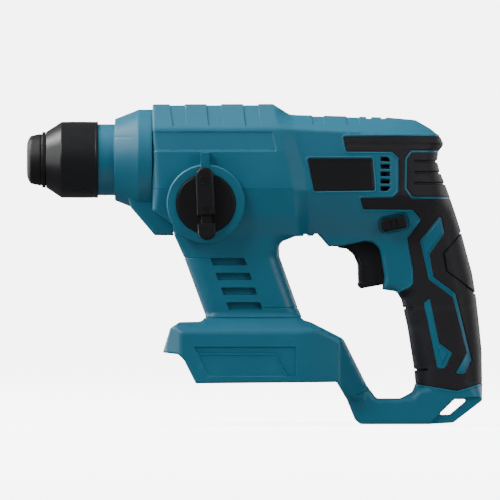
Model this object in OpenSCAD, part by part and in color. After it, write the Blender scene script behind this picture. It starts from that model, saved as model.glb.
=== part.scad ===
// Cordless rotary hammer with a closed D handle and a battery shoe under its front leg.
// Millimetres. The origin is on the spindle's axis at the front face of the tool holder.
// +X runs back from the chuck to the grip, +Z is up and -Y is the operator's left side.

/* [Chuck] */
// Radius of the bore that takes the tool's shank
shank_bore_r = 5.05; // [5.02:0.01:5.1]
// Outer radius of the locking sleeve
sleeve_r = 23.7; // [23.4:0.1:24.2]
// Radius of the round collar that takes a side handle
collar_r = 22.1; // [21.6:0.1:22.1]
// Radius of a locking ball
ball_r = 3.5; // [3.3:0.1:3.5]

/* [Housing] */
// Half width of the gear housing at its widest
gear_half_w = 33; // [32.5:0.5:34]
// Half width of the motor housing at its widest
motor_half_w = 30.5; // [30.5:0.5:32]
// Half width of the battery shoe
shoe_half_w = 38; // [37.5:0.5:40]
// Half width of the grip
grip_half_w = 16.5; // [16.5:0.5:18]
// Thickness of the moulded wall
wall = 2.6; // [2.4:0.1:2.8]
// Thickness of the rubber over the grip
rubber_t = 1.8; // [1.5:0.1:1.9]

/* [Gears] */
// Teeth on the spindle gear
spindle_teeth = 41; // [41:1:41]
// Teeth on the countershaft's pinion
pinion_teeth = 13; // [13:1:13]
// Module of the slow gear pair
slow_module = 1; // [1:0.1:1]
// Teeth on the countershaft's large gear
large_teeth = 48; // [48:1:48]
// Teeth on the motor's pinion
motor_teeth = 12; // [12:1:12]
// Module of the fast gear pair
fast_module = 0.6; // [0.6:0.1:0.6]
// Pressure angle of all the teeth, in degrees
pressure_angle = 25; // [22:1:26]
// How much thinner each tooth is than a perfect one
tooth_slack = 0.12; // [0.08:0.01:0.15]

/* [Controls] */
// Radius of the mode knob's disc
knob_r = 18.2; // [17.5:0.1:18.2]
// Throw of the knob's shift pin
shift_throw = 2; // [1.8:0.1:2]
// Angle at which the trigger slides up into the grip, in degrees
trigger_angle = 10; // [9:0.5:11]

/* [Hidden] */

$fn = 64;
big = 400;

// Colours
teal = [0.13, 0.42, 0.53];
black = [0.12, 0.12, 0.13];
rubber = [0.17, 0.17, 0.19];
steel = [0.66, 0.68, 0.70];
bright = [0.78, 0.79, 0.81];
cast = [0.70, 0.71, 0.72];
brass = [0.78, 0.62, 0.30];
copper = [0.72, 0.42, 0.25];

// Gear train, along the spindle's axis
countershaft_z = -(spindle_teeth + pinion_teeth) * slow_module / 2;
motor_z = countershaft_z + (large_teeth + motor_teeth) * fast_module / 2;
slow_gear_x = [90, 101];
fast_gear_x = [138, 146];
wobble_x = 122;
tube_r = 14.5;
cylinder_r = 11.5;
journal_r = 14.97;
spindle_rear_x = 112;
relief_r = 5.8;
running_gap = 0.05;

// Balls and the ring that holds them in
ball_x = 22.5;
ball_radial = 7.05;
ring_slope = 1.6 / 7;
ring_x = [12, 26];
ring_r_at_ball = 10.7;

// Plates and bearings
bracket_x = [106, 111];
plate_x = [150, 156];
front_bearing_x = [53, 60];
seal_x = [45, 51];
counter_front_x = [80, 86];
counter_rear_x = [150.5, 155.5];
core_x = [172, 204];
yoke_x = [170, 206];
yoke_r = 25.2;
rear_bearing_x = [226.5, 231.5];
damper_r = 12;

// Mode knob
knob_axis = [107.1, -27.4];
knob_tilt = 2.5;
boss_r = 24.3;
boss_face_y = -38;
knob_floor_y = -34.4;
bar_top_y = -50;
stem_r = 6;
bar_half_w = 5.55;

// Trigger and switch, in a frame whose X axis is the trigger's slide
switch_at = [222, 0, -66];
trigger_half_w = 9.5;
direction_at = [223.4, 0, -39.6];

// Battery bay, open below and in front
bay_x = [104, 183];
bay_half_w = 31;

// Screws that pull the two halves together, as [x, z]
screw_places = [[118, 27.5], [163, 21], [240, 12], [98, -56], [139, -53], [112, -107.5],
    [160, -107.5], [197, -138], [236, -156], [256, -122], [250, -36]];
screw_seat_y = 9;

// Section of the gear housing and the leg below it, as [half width, z]
front_half_section = [[14, 34.5], [29, 19], [31.5, 4.8], [gear_half_w, -18.5], [31, -35.2],
    [27, -47.5], [25, -60.9], [25, -105]];
// Section of the motor housing
motor_half_section = [[12, 28.6], [27.5, 19], [29, 4.8], [motor_half_w, -19], [24, -36],
    [18.5, -47], [16.5, -56]];
// Section of the battery shoe and the base of the handle
shoe_half_section = [[24, -95], [31, -100.8], [shoe_half_w, -107], [shoe_half_w, -141],
    [grip_half_w + 1, -150], [grip_half_w, -155], [grip_half_w, -162], [grip_half_w - 2, -164]];

// Side outlines, as [x, z]
front_outline = [[74, 34.3], [148.5, 34.5], [160, 27.9], [161.5, 19], [165, 4.7], [169.4, -25],
    [169.4, -47.5], [158, -49.4], [152.3, -56], [152.7, -60], [163.6, -90.5], [168, -104],
    [109, -104], [93.7, -60.9], [87.6, -47.2], [86.5, -40.2], [74, -31.2]];
motor_outline = [[150, 27.4], [160.4, 27.7], [201.1, 26.7], [236.7, 24.7], [246, 19.4],
    [252.1, 14.4], [254.5, 9.4], [250.6, 1.5], [252.1, -7.5], [258.1, -22.3], [262.6, -36],
    [262.6, -53], [228, -53], [206.1, -50.5], [189.4, -53.8], [183.2, -53.8], [177.4, -47.3],
    [150, -47.5]];
grip_outline = [[206, -30], [206.1, -50.5], [214.4, -55.2], [217.7, -73.1], [216.5, -80.8],
    [225.2, -81.8], [228.4, -86.9], [232, -103.5], [236.1, -129.1], [237.1, -144],
    [278.4, -144], [278.4, -132], [278.2, -117.8], [276.4, -100], [274.1, -82.8],
    [268.7, -57.3], [264.6, -41.9], [258.6, -23.5], [250, -12]];
shoe_outline = [[100.9, -138.4], [187.8, -137.6], [194.6, -149.2], [199.4, -161.1],
    [203.5, -163.9], [259.2, -163.9], [278.2, -149.2], [278.4, -134], [237, -134],
    [236.4, -141], [228, -148.2], [212.2, -148.2], [192.3, -111.1], [172.8, -101.1],
    [165, -97.5], [105, -97.5], [103, -100.7], [90.4, -100.9], [85, -104.4], [80.4, -119.5],
    [89.1, -120.2], [93.7, -124.1]];
lanyard_outline = [[261.1, -148.4], [270.3, -148.4], [258.4, -158.4], [250.8, -158.4]];

// Plan outlines, as [x, half width]
front_half_plan = [[73, 28], [78, gear_half_w], [172, gear_half_w]];
motor_half_plan = [[148, motor_half_w + 1], [205, motor_half_w + 0.6], [240, 26.5], [249, 21],
    [256, 14], [264, 10]];
shoe_half_plan = [[78, 22], [84, 31], [92, shoe_half_w], [166, shoe_half_w],
    [190, shoe_half_w - 4.5], [206, grip_half_w + 0.6], [264, grip_half_w], [279, 12]];

// Edge of the rubber on the side of the motor and the grip
rubber_outline = [[192, 14.1], [193.9, 4.8], [222.1, 4.7], [226.2, 0.9], [226.2, -20.1],
    [222.8, -23.5], [202.6, -23.8], [204.3, -31], [235.1, -31.2], [240.3, -37.4],
    [231.7, -49], [235.5, -69.1], [235.5, -76.9], [233.2, -79.2], [220, -85.5], [220, -100],
    [228, -139.1], [237.1, -139.1], [262.8, -143.3], [278.2, -138.5], [290, -135],
    [290, 14.4], [252.1, 14.4]];
pad_outline = [[234.3, 4.4], [231.4, 0.2], [231.1, -17.9], [234.9, -23.1], [266, -23.5],
    [266, 4.3]];
long_inlay = [[251.8, -35.3], [253.1, -36], [254.9, -45.4], [245.4, -58.5], [248, -72.7],
    [261.6, -82.8], [272, -124.3], [267.2, -132.6], [261.4, -132.6], [268.7, -119.5],
    [259.9, -85.2], [245, -74.2], [239.7, -50.2]];
short_inlay = [[241.8, -88.7], [245.6, -85.7], [251.6, -113.6], [259.6, -119.5],
    [254.9, -129.3], [250.3, -129.3]];
plate_outline = [[169.8, 0.7], [210.1, 0.7], [211.8, -19.3], [173.8, -19.7]];
plate_t = 0.8;

// Outline of the trigger, as [x, z]
trigger_outline = [[189.6, -54.7], [194.5, -55.3], [198.6, -59], [201.1, -64.8],
    [201.5, -78.1], [203.2, -79.6], [225.6, -75.6], [221.7, -53.2], [206.5, -51.6]];
trigger_slot = [[196, -54.9], [206, -50.3], [236, -45], [236, -75.2], [212, -79.4],
    [205, -84], [190, -84]];

// Functions

// Signed area of a polygon, twice over
function turn(p) = let (n = len(p))
    [for (i = [0:n - 1]) cross(p[i], p[(i + 1) % n])] * [for (i = [0:n - 1]) 1];
// Left normal of the edge from a to b
function normal(a, b) = let (e = b - a) [-e[1], e[0]] / norm(e);
// The polygon with every edge moved inwards by d
function inset(p, d) = let (n = len(p), s = sign(turn(p)))
    [for (i = [0:n - 1])
        let (u = s * normal(p[(i + n - 1) % n], p[i]), v = s * normal(p[i], p[(i + 1) % n]))
        p[i] + d * (u + v) / (1 + u * v)];
// A half section made whole by its mirror image across the middle plane
function both_sides(h) = concat(h, [for (i = [len(h) - 1:-1:0]) [-h[i][0], h[i][1]]]);
// A half plan made whole in the same way
function both_plan(h) = concat(h, [for (i = [len(h) - 1:-1:0]) [h[i][0], -h[i][1]]]);
// Polar angle that an involute has turned through at radius rho, in degrees
function involute(rb, rho) = let (a = acos(min(1, rb / rho))) tan(a) * 180 / PI - a;
// Outline of a spur gear, with the middle of one tooth at the angle start
function gear_points(teeth, m, start) =
    let (r = teeth * m / 2, rb = r * cos(pressure_angle), tip = r + 0.9 * m,
        root = r - 1.15 * m, foot = max(rb, root + 0.15 * m), mid = (foot + tip) / 2,
        half = 90 / teeth - tooth_slack / (2 * r) * 180 / PI + involute(rb, r))
    [for (i = [0:teeth - 1]) for (q = [[-1, root], [-1, foot], [-1, mid], [-1, tip],
            [1, tip], [1, mid], [1, foot], [1, root]])
        let (a = start + 360 * i / teeth + q[0] * (half - involute(rb, max(q[1], rb))))
        q[1] * [cos(a), sin(a)]];

// Building blocks

module side(p, half = big) {
    rotate([90, 0, 0])
        translate([0, 0, -half])
            linear_extrude(2 * half) polygon(p);
}

module along_x(p, x) {
    translate([x[0], 0, 0])
        rotate([90, 0, 90])
            linear_extrude(x[1] - x[0]) polygon(p);
}

module plan(p) {
    translate([0, 0, -big / 2])
        linear_extrude(big) polygon(p);
}

module x_cylinder(r, x, z = 0) {
    translate([x[0], 0, z])
        rotate([0, 90, 0])
            cylinder(r = r, h = x[1] - x[0]);
}

module x_ring(outer, inner, x, z = 0) {
    difference() {
        x_cylinder(outer, x, z);
        x_cylinder(inner, [x[0] - 1, x[1] + 1], z);
    }
}

module y_cylinder(r, at, y) {
    translate([at[0], y[1], at[1]])
        rotate([90, 0, 0])
            cylinder(r = r, h = y[1] - y[0]);
}

// A solid turned about the X axis, from points [x, r]
module lathe(p, z = 0) {
    translate([0, 0, z])
        rotate([0, 90, 0])
            rotate_extrude() polygon([for (q = p) [q[1], q[0]]]);
}

module block(x, y, z) {
    translate([x[0], y[0], z[0]])
        cube([x[1] - x[0], y[1] - y[0], z[1] - z[0]]);
}

// A wound spring along the X axis
module coil(x, mean_r, wire_r, turns) {
    steps = 16;
    sides = 6;
    rings = turns * steps;
    travel = x[1] - x[0] - 2 * wire_r;
    points = [for (i = [0:rings]) for (k = [0:sides - 1])
        let (a = 360 * i / steps, b = 360 * k / sides, r = mean_r + wire_r * cos(b))
        [x[0] + wire_r + travel * i / rings + wire_r * sin(b), r * cos(a), r * sin(a)]];
    near = [for (i = [0:rings - 1]) for (k = [0:sides - 1])
        [i * sides + k, (i + 1) * sides + k, (i + 1) * sides + (k + 1) % sides]];
    far = [for (i = [0:rings - 1]) for (k = [0:sides - 1])
        [i * sides + k, (i + 1) * sides + (k + 1) % sides, i * sides + (k + 1) % sides]];
    first = [[for (k = [0:sides - 1]) k]];
    last = [[for (k = [sides - 1:-1:0]) rings * sides + k]];
    polyhedron(points, concat(near, far, first, last));
}

module for_each_screw() {
    for (p = screw_places)
        translate([p[0], 0, p[1]])
            rotate([-90, 0, 0])
                children();
}

module at_switch() {
    translate(switch_at)
        rotate([0, -trigger_angle, 0])
            children();
}

// Outer shape of the whole housing, moved inwards by d

module front_shape(d) {
    intersection() {
        side(inset(front_outline, d));
        along_x(inset(both_sides(front_half_section), d), [60, 180]);
        plan(inset(both_plan(front_half_plan), d));
    }
}

module motor_shape(d) {
    intersection() {
        side(inset(motor_outline, d));
        along_x(inset(both_sides(motor_half_section), d), [140, 270]);
        plan(inset(both_plan(motor_half_plan), d));
    }
}

// A post with round ends that leans back with the grip
module grip_post(middle_x, middle_z, half_len, lean, r) {
    translate([middle_x, 0, middle_z])
        rotate([0, lean, 0])
            linear_extrude(160, center = true)
                union() {
                    translate([half_len, 0]) circle(r);
                    translate([-half_len, 0]) circle(r);
                    translate([-half_len, -r]) square([2 * half_len, 2 * r]);
                }
}

module grip_shape(d) {
    intersection() {
        side(inset(grip_outline, d));
        union() {
            intersection() {
                grip_post(253.4, -100, 7.6, -7.8, grip_half_w - d);
                block([200, 300], [-50, 50], [-150, -79]);
            }
            intersection() {
                grip_post(239, -57, 16, -7.8, grip_half_w - d);
                block([200, 300], [-50, 50], [-80, -10]);
            }
        }
    }
}

module shoe_shape(d) {
    intersection() {
        side(inset(shoe_outline, d));
        along_x(inset(both_sides(shoe_half_section), d), [60, 290]);
        plan(inset(both_plan(shoe_half_plan), d));
    }
}

module housing_shape(d) {
    front_shape(d);
    motor_shape(d);
    grip_shape(d);
    shoe_shape(d);
}

// The hollow inside the housing
module housing_hollow() {
    front_shape(wall);
    motor_shape(wall + rubber_t);
    grip_shape(wall + rubber_t);
    difference() {
        shoe_shape(wall);
        block([70, 189], [-50, 50], [-150, -115.4]);
        block([246, 300], [-50, 50], [-170, -130]);
    }
}

// The layer of the housing's outside that is d thick, within a side outline
module skin(p, d) {
    difference() {
        intersection() {
            housing_shape(0);
            side(p);
        }
        housing_shape(d);
    }
}

module housing_ribs() {
    difference() {
        intersection() {
            motor_shape(wall + rubber_t - 0.1);
            union() {
                for (x = [174, 199])
                    x_ring(60, yoke_r + 0.05, [x, x + 2.5], motor_z);
                x_ring(60, damper_r + 0.05, rear_bearing_x, motor_z);
            }
        }
        // way through for the wires
        block([170, 235], [-8.5, 8.5], [-43.5, -29]);
    }
    intersection() {
        front_shape(wall - 0.1);
        block([104, 147.6], [-40, 40], [-98.2, -95.8]);
    }
}

module housing_cuts() {
    x_cylinder(28.6, [60, 90]);
    block([70, 91.2], [-17.1, 17.1], [-44.9, -20]);
    side(trigger_slot, trigger_half_w + 0.4);
    translate(direction_at)
        rotate([0, -12, 0])
            direction_bar(8.3, 4.3, 60);
    // battery bay, open below and in front
    block([60, bay_x[1]], [-bay_half_w, bay_half_w], [-170, -118]);
    block([146, 154], [-8.5, 8.5], [-119, -114]);
    side(lanyard_outline);
    // air slots beside the brushes, above them and below the fan
    for (i = [0:4])
        block([215.2, 220.8], [-60, 60], [-19.5 + 4.55 * i, -16.7 + 4.55 * i]);
    for (x = [206.2, 215.3])
        block([x, x + 3.6], [-8, 8], [18, 40]);
    for (x = [167.3, 173.7])
        block([x, x + 3.3], [-11, 11], [-50, -38]);
    // shallow pockets down both sides of the leg
    for (s = [-1, 1]) for (i = [0:3])
        translate([3.3 * i, s * 31, -9.13 * i])
            side([[109.8, -60.9], [130.9, -60.9], [132.5, -65.5], [111.4, -65.5]], 7.1);
}

module battery_rails() {
    for (s = [-1, 1])
        block(bay_x, [s * (bay_half_w - 1.5) - 2, s * (bay_half_w - 1.5) + 2],
            [-131.5, -128]);
}

module housing_body() {
    difference() {
        union() {
            difference() {
                housing_shape(0);
                housing_hollow();
            }
            housing_ribs();
        }
        housing_cuts();
        skin(rubber_outline, rubber_t);
        skin(plate_outline, plate_t);
    }
    intersection() {
        battery_rails();
        housing_shape(0.2);
    }
}

// Chuck

module dust_cap() {
    color(rubber)
        lathe([[-4, 5.6], [-4, 10], [-3.2, 12.6], [-1.7, 14.9], [4.4, 16.2], [5.5, 16.2],
            [5.5, 17.3], [7.6, 17.3], [7.6, 9.6], [0, 9.6], [0, 5.6]]);
}

module locking_sleeve() {
    color(black)
        lathe([[7.9, 14.2], [7.9, 17.3], [17.5, sleeve_r - 0.3], [18, sleeve_r],
            [39.6, sleeve_r], [40.1, sleeve_r - 0.3], [40.1, collar_r + 0.4],
            [32.3, collar_r + 0.4], [32.3, 20.4], [26, 20.4], [26, 16], [12, 16], [12, 14.2]]);
}

module ball_ring() {
    color(steel)
        lathe([[ring_x[0], ring_r_at_ball + ring_slope * (ball_x - ring_x[0])],
            [ring_x[0], 16], [ring_x[1], 16],
            [ring_x[1], ring_r_at_ball + ring_slope * (ball_x - ring_x[1])]]);
}

module locking_ball(up) {
    color(bright)
        translate([ball_x, 0, up * ball_radial])
            sphere(ball_r);
}

module sleeve_spring() {
    color(steel)
        coil([26.1, 43.9], 11.4, 0.9, 5);
}

module retaining_ring() {
    color(steel)
        x_ring(13, 8.8, [8.2, 9.8]);
}

// Spindle and what turns with it

module spindle() {
    color(bright) {
        difference() {
            lathe([[0, shank_bore_r], [0, 9.6], [8.2, 9.6], [8.2, 8.8], [9.8, 8.8], [9.8, 9.6],
                [44, 9.6], [44, journal_r], [60.1, journal_r], [60.1, 17], [63, 17],
                [63, tube_r], [76, tube_r], [76, 19], [78.5, 19], [78.5, tube_r],
                [spindle_rear_x, tube_r], [spindle_rear_x, cylinder_r], [70, cylinder_r],
                [70, 8.1], [49.5, 8.1], [49.5, relief_r], [12, relief_r], [12, shank_bore_r]]);
            for (s = [-1, 1])
                translate([ball_x, 0, s * 7.8])
                    cylinder(r = ball_r + running_gap, h = 8.4, center = true);
        }
        // drive keys
        for (s = [-1, 1])
            block([14, 38], [s * 4.8 - 1.4, s * 4.8 + 1.4], [-1.4, 1.4]);
    }
}

module spindle_gear() {
    color(steel)
        difference() {
            along_x(gear_points(spindle_teeth, slow_module, -90), slow_gear_x);
            x_cylinder(tube_r, [80, 110]);
        }
}

module clutch_spring() {
    color(steel)
        coil([78.6, 89.9], 16.8, 1.3, 3);
}

module impact_bolt() {
    color(bright)
        lathe([[41, 0], [41, 5.1], [41.6, relief_r - 0.3], [52, relief_r - 0.3], [52, 8], [59, 8], [59, 6.5],
            [67.4, 6.5], [68, 6], [68, 0]]);
}

module striker() {
    color(bright)
        lathe([[72, 0], [72, 6.6], [72.5, 7], [76, 7], [76, 11.4], [80, 11.4], [80, 10],
            [82.4, 10], [82.4, 11.4], [88, 11.4], [88, 0]]);
}

module striker_seal_ring() {
    color(black)
        x_ring(11.44, 10, [80.1, 82.3]);
}

module piston() {
    color(cast)
        difference() {
            lathe([[92, 0], [92, 11.4], [95, 11.4], [95, 10], [97.4, 10], [97.4, 11.4],
                [106, 11.4], [106, 10.5], [128, 10.5], [128, 0]]);
            y_cylinder(4.05, [wobble_x, 0], [-20, 20]);
            block([115.4, 130], [-4.2, 4.2], [-14, 6.5]);
        }
}

module piston_seal_ring() {
    color(black)
        x_ring(11.44, 10, [95.1, 97.3]);
}

module piston_pin() {
    color(bright)
        difference() {
            y_cylinder(4, [wobble_x, 0], [-8.6, 8.6]);
            translate([wobble_x, 0, -8])
                cylinder(r = 2.85, h = 16);
        }
}

module wobble_ring() {
    color(steel)
        difference() {
            union() {
                x_cylinder(13.5, [wobble_x - 4, wobble_x + 4], countershaft_z);
                translate([wobble_x, 0, countershaft_z + 10])
                    cylinder(r = 2.5, h = 19);
            }
            x_cylinder(10, [wobble_x - 6, wobble_x + 6], countershaft_z);
        }
}

module wobble_hub() {
    color(steel)
        lathe([[114, 4], [114, 6.4], [116, 8], [128, 8], [130, 6.4], [130, 4]],
            countershaft_z);
}

module countershaft() {
    color(steel) {
        x_cylinder(3, [counter_front_x[0], counter_rear_x[1]], countershaft_z);
        x_cylinder(4, [87, 149.5], countershaft_z);
        along_x([for (p = gear_points(pinion_teeth, slow_module, 90 + 180 / pinion_teeth))
            p + [0, countershaft_z]], slow_gear_x);
    }
}

module countershaft_gear() {
    color(steel)
        difference() {
            along_x([for (p = gear_points(large_teeth, fast_module, 90))
                p + [0, countershaft_z]], fast_gear_x);
            x_cylinder(4, [130, 150], countershaft_z);
        }
}

module shift_sleeve() {
    groove = [105, 109.2];
    color(steel)
        lathe([[103.6, 4.04], [103.6, 7.5], [groove[0], 7.5], [groove[0], 5.8],
            [groove[1], 5.8], [groove[1], 7.5], [110.6, 7.5], [110.6, 4.04]],
            countershaft_z);
}

module countershaft_bearings() {
    color(bright) {
        x_ring(8, 3.03, counter_front_x, countershaft_z);
        x_ring(6.5, 3.03, counter_rear_x, countershaft_z);
    }
}

// Nose

module oil_seal() {
    color(black)
        x_ring(19, journal_r + running_gap, seal_x);
}

module front_bearing() {
    color(bright)
        difference() {
            x_ring(21, journal_r + 0.03, front_bearing_x);
            x_ring(18.9, 17.1, [front_bearing_x[1] - 0.8, front_bearing_x[1] + 1]);
        }
}

module bearing_bracket() {
    color(cast)
        difference() {
            intersection() {
                along_x(inset(both_sides(front_half_section), wall + 0.1), bracket_x);
                block([100, 120], [-40, 40], [-18.5, 22]);
            }
            x_cylinder(16.5, [100, 120]);
        }
}

module rear_bush() {
    color(brass)
        x_ring(16.5, tube_r + 0.03, bracket_x);
}

module nose_housing() {
    lobe_half_w = 17;
    color(teal)
        difference() {
            union() {
                x_cylinder(collar_r, [40.1, 50.6]);
                lathe([[50.6, 0], [50.6, 25.3], [65.4, 31.2], [73.9, 31.2], [73.9, 28.5],
                    [84, 28.5], [84, 0]]);
                side([[58, -20], [60.4, -29.5], [75.3, -46.9], [87, -47], [85.9, -40.6],
                    [73.6, -31.6], [73.6, -20]], lobe_half_w);
                block([73.4, 90], [-lobe_half_w, lobe_half_w], [-44.8, -20.1]);
            }
            lathe([[39, 0], [39, 15.3], [45, 15.3], [45, 19], [51, 19], [51, 18],
                [53, 18], [53, 21], [60, 21], [62, 25.4], [86, 25.4], [86, 0]]);
            x_cylinder(8, [counter_front_x[0], 95], countershaft_z);
            block([84.1, 95], [-13, 13], [-36, 0]);
        }
}

// Housing

module left_housing() {
    color(teal)
        difference() {
            union() {
                intersection() {
                    housing_body();
                    block([0, 300], [-100, 0], [-200, 100]);
                }
                intersection() {
                    for_each_screw()
                        translate([0, 0, -40]) cylinder(r = 4, h = 40);
                    housing_shape(2);
                }
                y_cylinder(boss_r, knob_axis, [boss_face_y, -30]);
                block([103.9, 109.7], [boss_face_y, -30], [-5, 4.2]);
            }
            y_cylinder(knob_r + 0.35, knob_axis, [-60, knob_floor_y]);
            y_cylinder(stem_r + running_gap, knob_axis, [-60, -20]);
            for_each_screw()
                translate([0, 0, -13]) cylinder(r = 1.95, h = 14);
        }
}

module right_housing() {
    color(teal)
        difference() {
            union() {
                intersection() {
                    housing_body();
                    block([0, 300], [0, 100], [-200, 100]);
                }
                intersection() {
                    for_each_screw()
                        cylinder(r = 5.5, h = 40);
                    housing_shape(2);
                }
            }
            for_each_screw() {
                translate([0, 0, -1]) cylinder(r = 2.1, h = 20);
                translate([0, 0, screw_seat_y]) cylinder(r = 3.9, h = 60);
            }
        }
}

module grip_rubber(y) {
    gap = 0.05;
    color(rubber)
        difference() {
            intersection() {
                skin(inset(rubber_outline, gap), rubber_t);
                block([180, 300], y, [-200, 100]);
            }
            side(inset(pad_outline, -1));
            side(long_inlay);
            side(short_inlay);
            for_each_screw()
                translate([0, 0, screw_seat_y]) cylinder(r = 3.9, h = 60);
        }
}

module rear_pad() {
    color(black)
        difference() {
            skin(inset(pad_outline, 0.2), rubber_t);
            for (i = [0:4])
                for (s = [-1, 1])
                    block([236.5, 270], [s * 20 - 17, s * 20 + 17],
                        [-20 + 4.4 * i, -19 + 4.4 * i]);
            block([230, 248.9], [-14, 14], [-30, 10]);
        }
}

module side_plates() {
    color(black)
        skin(inset(plate_outline, 0.1), plate_t);
}

// Mode knob

module knob_frame() {
    translate([knob_axis[0], 0, knob_axis[1]])
        rotate([0, -knob_tilt, 0])
            children();
}

module bar_end(z) {
    translate([0, bar_top_y, z])
        rotate([-90, 0, 0])
            cylinder(r = bar_half_w, h = 10.4);
}

module mode_knob() {
    color(black) {
        y_cylinder(knob_r, knob_axis, [-40, knob_floor_y]);
        y_cylinder(stem_r, knob_axis, [knob_floor_y - 0.1, -12]);
        y_cylinder(1.5, knob_axis + [0, shift_throw], [-12.1, -6.4]);
        knob_frame()
            difference() {
                union() {
                    bar_end(17);
                    block([-bar_half_w, bar_half_w], [bar_top_y, -39.6], [-7, 17]);
                }
                block([-3.6, 3.6], [-48, -42.2], [-8, -1.4]);
            }
    }
}

module knob_lock_button() {
    color(black)
        knob_frame()
            difference() {
                union() {
                    bar_end(-17);
                    block([-bar_half_w, bar_half_w], [bar_top_y, -40.2], [-17, -12.2]);
                    block([-3.3, 3.3], [-47.8, -42.4], [-12.3, -5.2]);
                }
                block([-10, 10], [-40.2, -38], [-30, 0]);
            }
}

module knob_seal() {
    color(rubber)
        difference() {
            y_cylinder(7.5, knob_axis, [-28.2, -26.4]);
            y_cylinder(stem_r + running_gap, knob_axis, [-32, -20]);
        }
}

// Motor

module armature_shaft() {
    color(bright) {
        x_cylinder(2.6, [136.5, 149], motor_z);
        x_cylinder(4, [148.5, 222.5], motor_z);
        x_cylinder(3, [222, 232.5], motor_z);
        along_x([for (p = gear_points(motor_teeth, fast_module, -90 + 180 / motor_teeth))
            p + [0, motor_z]], [137, 147]);
    }
}

module armature_core() {
    slots = 12;
    color(steel)
        difference() {
            x_ring(18.2, 4, core_x, motor_z);
            for (i = [0:slots - 1])
                translate([0, 0, motor_z])
                    rotate([360 * i / slots, 0, 0])
                        block([core_x[0] - 1, core_x[1] + 1], [-0.9, 0.9], [13, 19]);
        }
}

module armature_windings() {
    color(copper)
        for (x = [[166.4, core_x[0]], [core_x[1], 209.4]])
            lathe([[x[0], 5.4], [x[0], 13.6], [x[0] + 1.4, 15.6], [x[1] - 1.4, 15.6],
                [x[1], 14.6], [x[1], 5.4]], motor_z);
}

module commutator() {
    bars = 24;
    color(copper)
        difference() {
            x_ring(10, 4, [210, 222], motor_z);
            for (i = [0:bars - 1])
                translate([0, 0, motor_z])
                    rotate([360 * i / bars, 0, 0])
                        block([212, 223], [-0.25, 0.25], [8.8, 11]);
        }
}

module cooling_fan() {
    blades = 11;
    color(black)
        difference() {
            union() {
                x_ring(23, 4, [158, 159.6], motor_z);
                x_ring(8, 4, [159, 165.6], motor_z);
                for (i = [0:blades - 1])
                    translate([0, 0, motor_z])
                        rotate([360 * i / blades, 0, 0])
                            block([159.5, 165], [-0.7, 0.7], [7, 22.6]);
            }
            x_cylinder(4, [150, 170], motor_z);
        }
}

module motor_yoke() {
    color(steel)
        x_ring(yoke_r, 22.4, yoke_x, motor_z);
}

module motor_magnets() {
    color([0.35, 0.35, 0.37])
        difference() {
            x_ring(22.4, 19, [173, 203], motor_z);
            for (i = [0:3])
                translate([0, 0, motor_z])
                    rotate([45 + 90 * i, 0, 0])
                        block([170, 206], [-4, 4], [15, 26]);
        }
}

module motor_bearings() {
    color(bright) {
        x_ring(11, 4.03, [150.2, 155.8], motor_z);
        x_ring(9.5, 3.03, rear_bearing_x, motor_z);
    }
}

module bearing_damper() {
    color(rubber)
        x_ring(damper_r, 9.5, rear_bearing_x, motor_z);
}

module motor_plate() {
    color(cast)
        difference() {
            intersection() {
                along_x(inset(both_sides(front_half_section), wall), plate_x);
                block([140, 160], [-40, 40], [-38, 25]);
            }
            x_cylinder(11, [140, 160], motor_z);
            x_cylinder(6.5, [140, 160], countershaft_z);
        }
}

module carbon_brushes() {
    color([0.2, 0.2, 0.21])
        for (s = [-1, 1])
            block([213.4, 218.6], [s * 14.6 - 4.4, s * 14.6 + 4.4],
                [motor_z - 3.4, motor_z + 3.4]);
}

module brush_holders() {
    color(brass)
        for (s = [-1, 1])
            difference() {
                block([212.6, 221.4], [s * 17 - 5.2, s * 17 + 5.2],
                    [motor_z - 4.4, motor_z + 4.4]);
                block([213.35, 218.65], [s * 15 - 8, s * 15 + 8],
                    [motor_z - 3.45, motor_z + 3.45]);
            }
}

module brush_plate() {
    color(black)
        x_ring(22, 7, [222.6, 224.6], motor_z);
}

// Trigger, switch and electrics

module trigger() {
    color(black)
        difference() {
            side(trigger_outline, trigger_half_w);
            at_switch()
                rotate([0, 90, 0]) cylinder(r = 2.4, h = 20, center = true);
        }
}

module trigger_plunger() {
    color(bright)
        at_switch()
            rotate([0, 90, 0])
                translate([0, 0, -9]) cylinder(r = 2.4, h = 25);
}

module trigger_spring() {
    color(steel)
        at_switch()
            coil([2.3, 10.9], 3.6, 0.45, 4);
}

module power_switch() {
    color(black)
        at_switch()
            difference() {
                block([11, 35], [-9.3, 9.3], [-14.5, 14.5]);
                rotate([0, 90, 0]) cylinder(r = 2.7, h = 25);
            }
}

// A flat bar with round corners, along the Y axis
module direction_bar(half_w, half_h, half_len) {
    corner = 2;
    translate([0, half_len, 0])
        rotate([90, 0, 0])
            linear_extrude(2 * half_len)
                union() {
                    for (x = [-1, 1]) for (z = [-1, 1])
                        translate([x * (half_w - corner), z * (half_h - corner)])
                            circle(corner);
                    square([2 * half_w, 2 * (half_h - corner)], center = true);
                    square([2 * (half_w - corner), 2 * half_h], center = true);
                }
}

module direction_button() {
    color(black)
        translate(direction_at)
            rotate([0, -12, 0])
                direction_bar(8, 4, 27);
}

module controller() {
    color([0.25, 0.27, 0.30])
        block([112, 145], [-10, 10], [-95.7, -68]);
}

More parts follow.
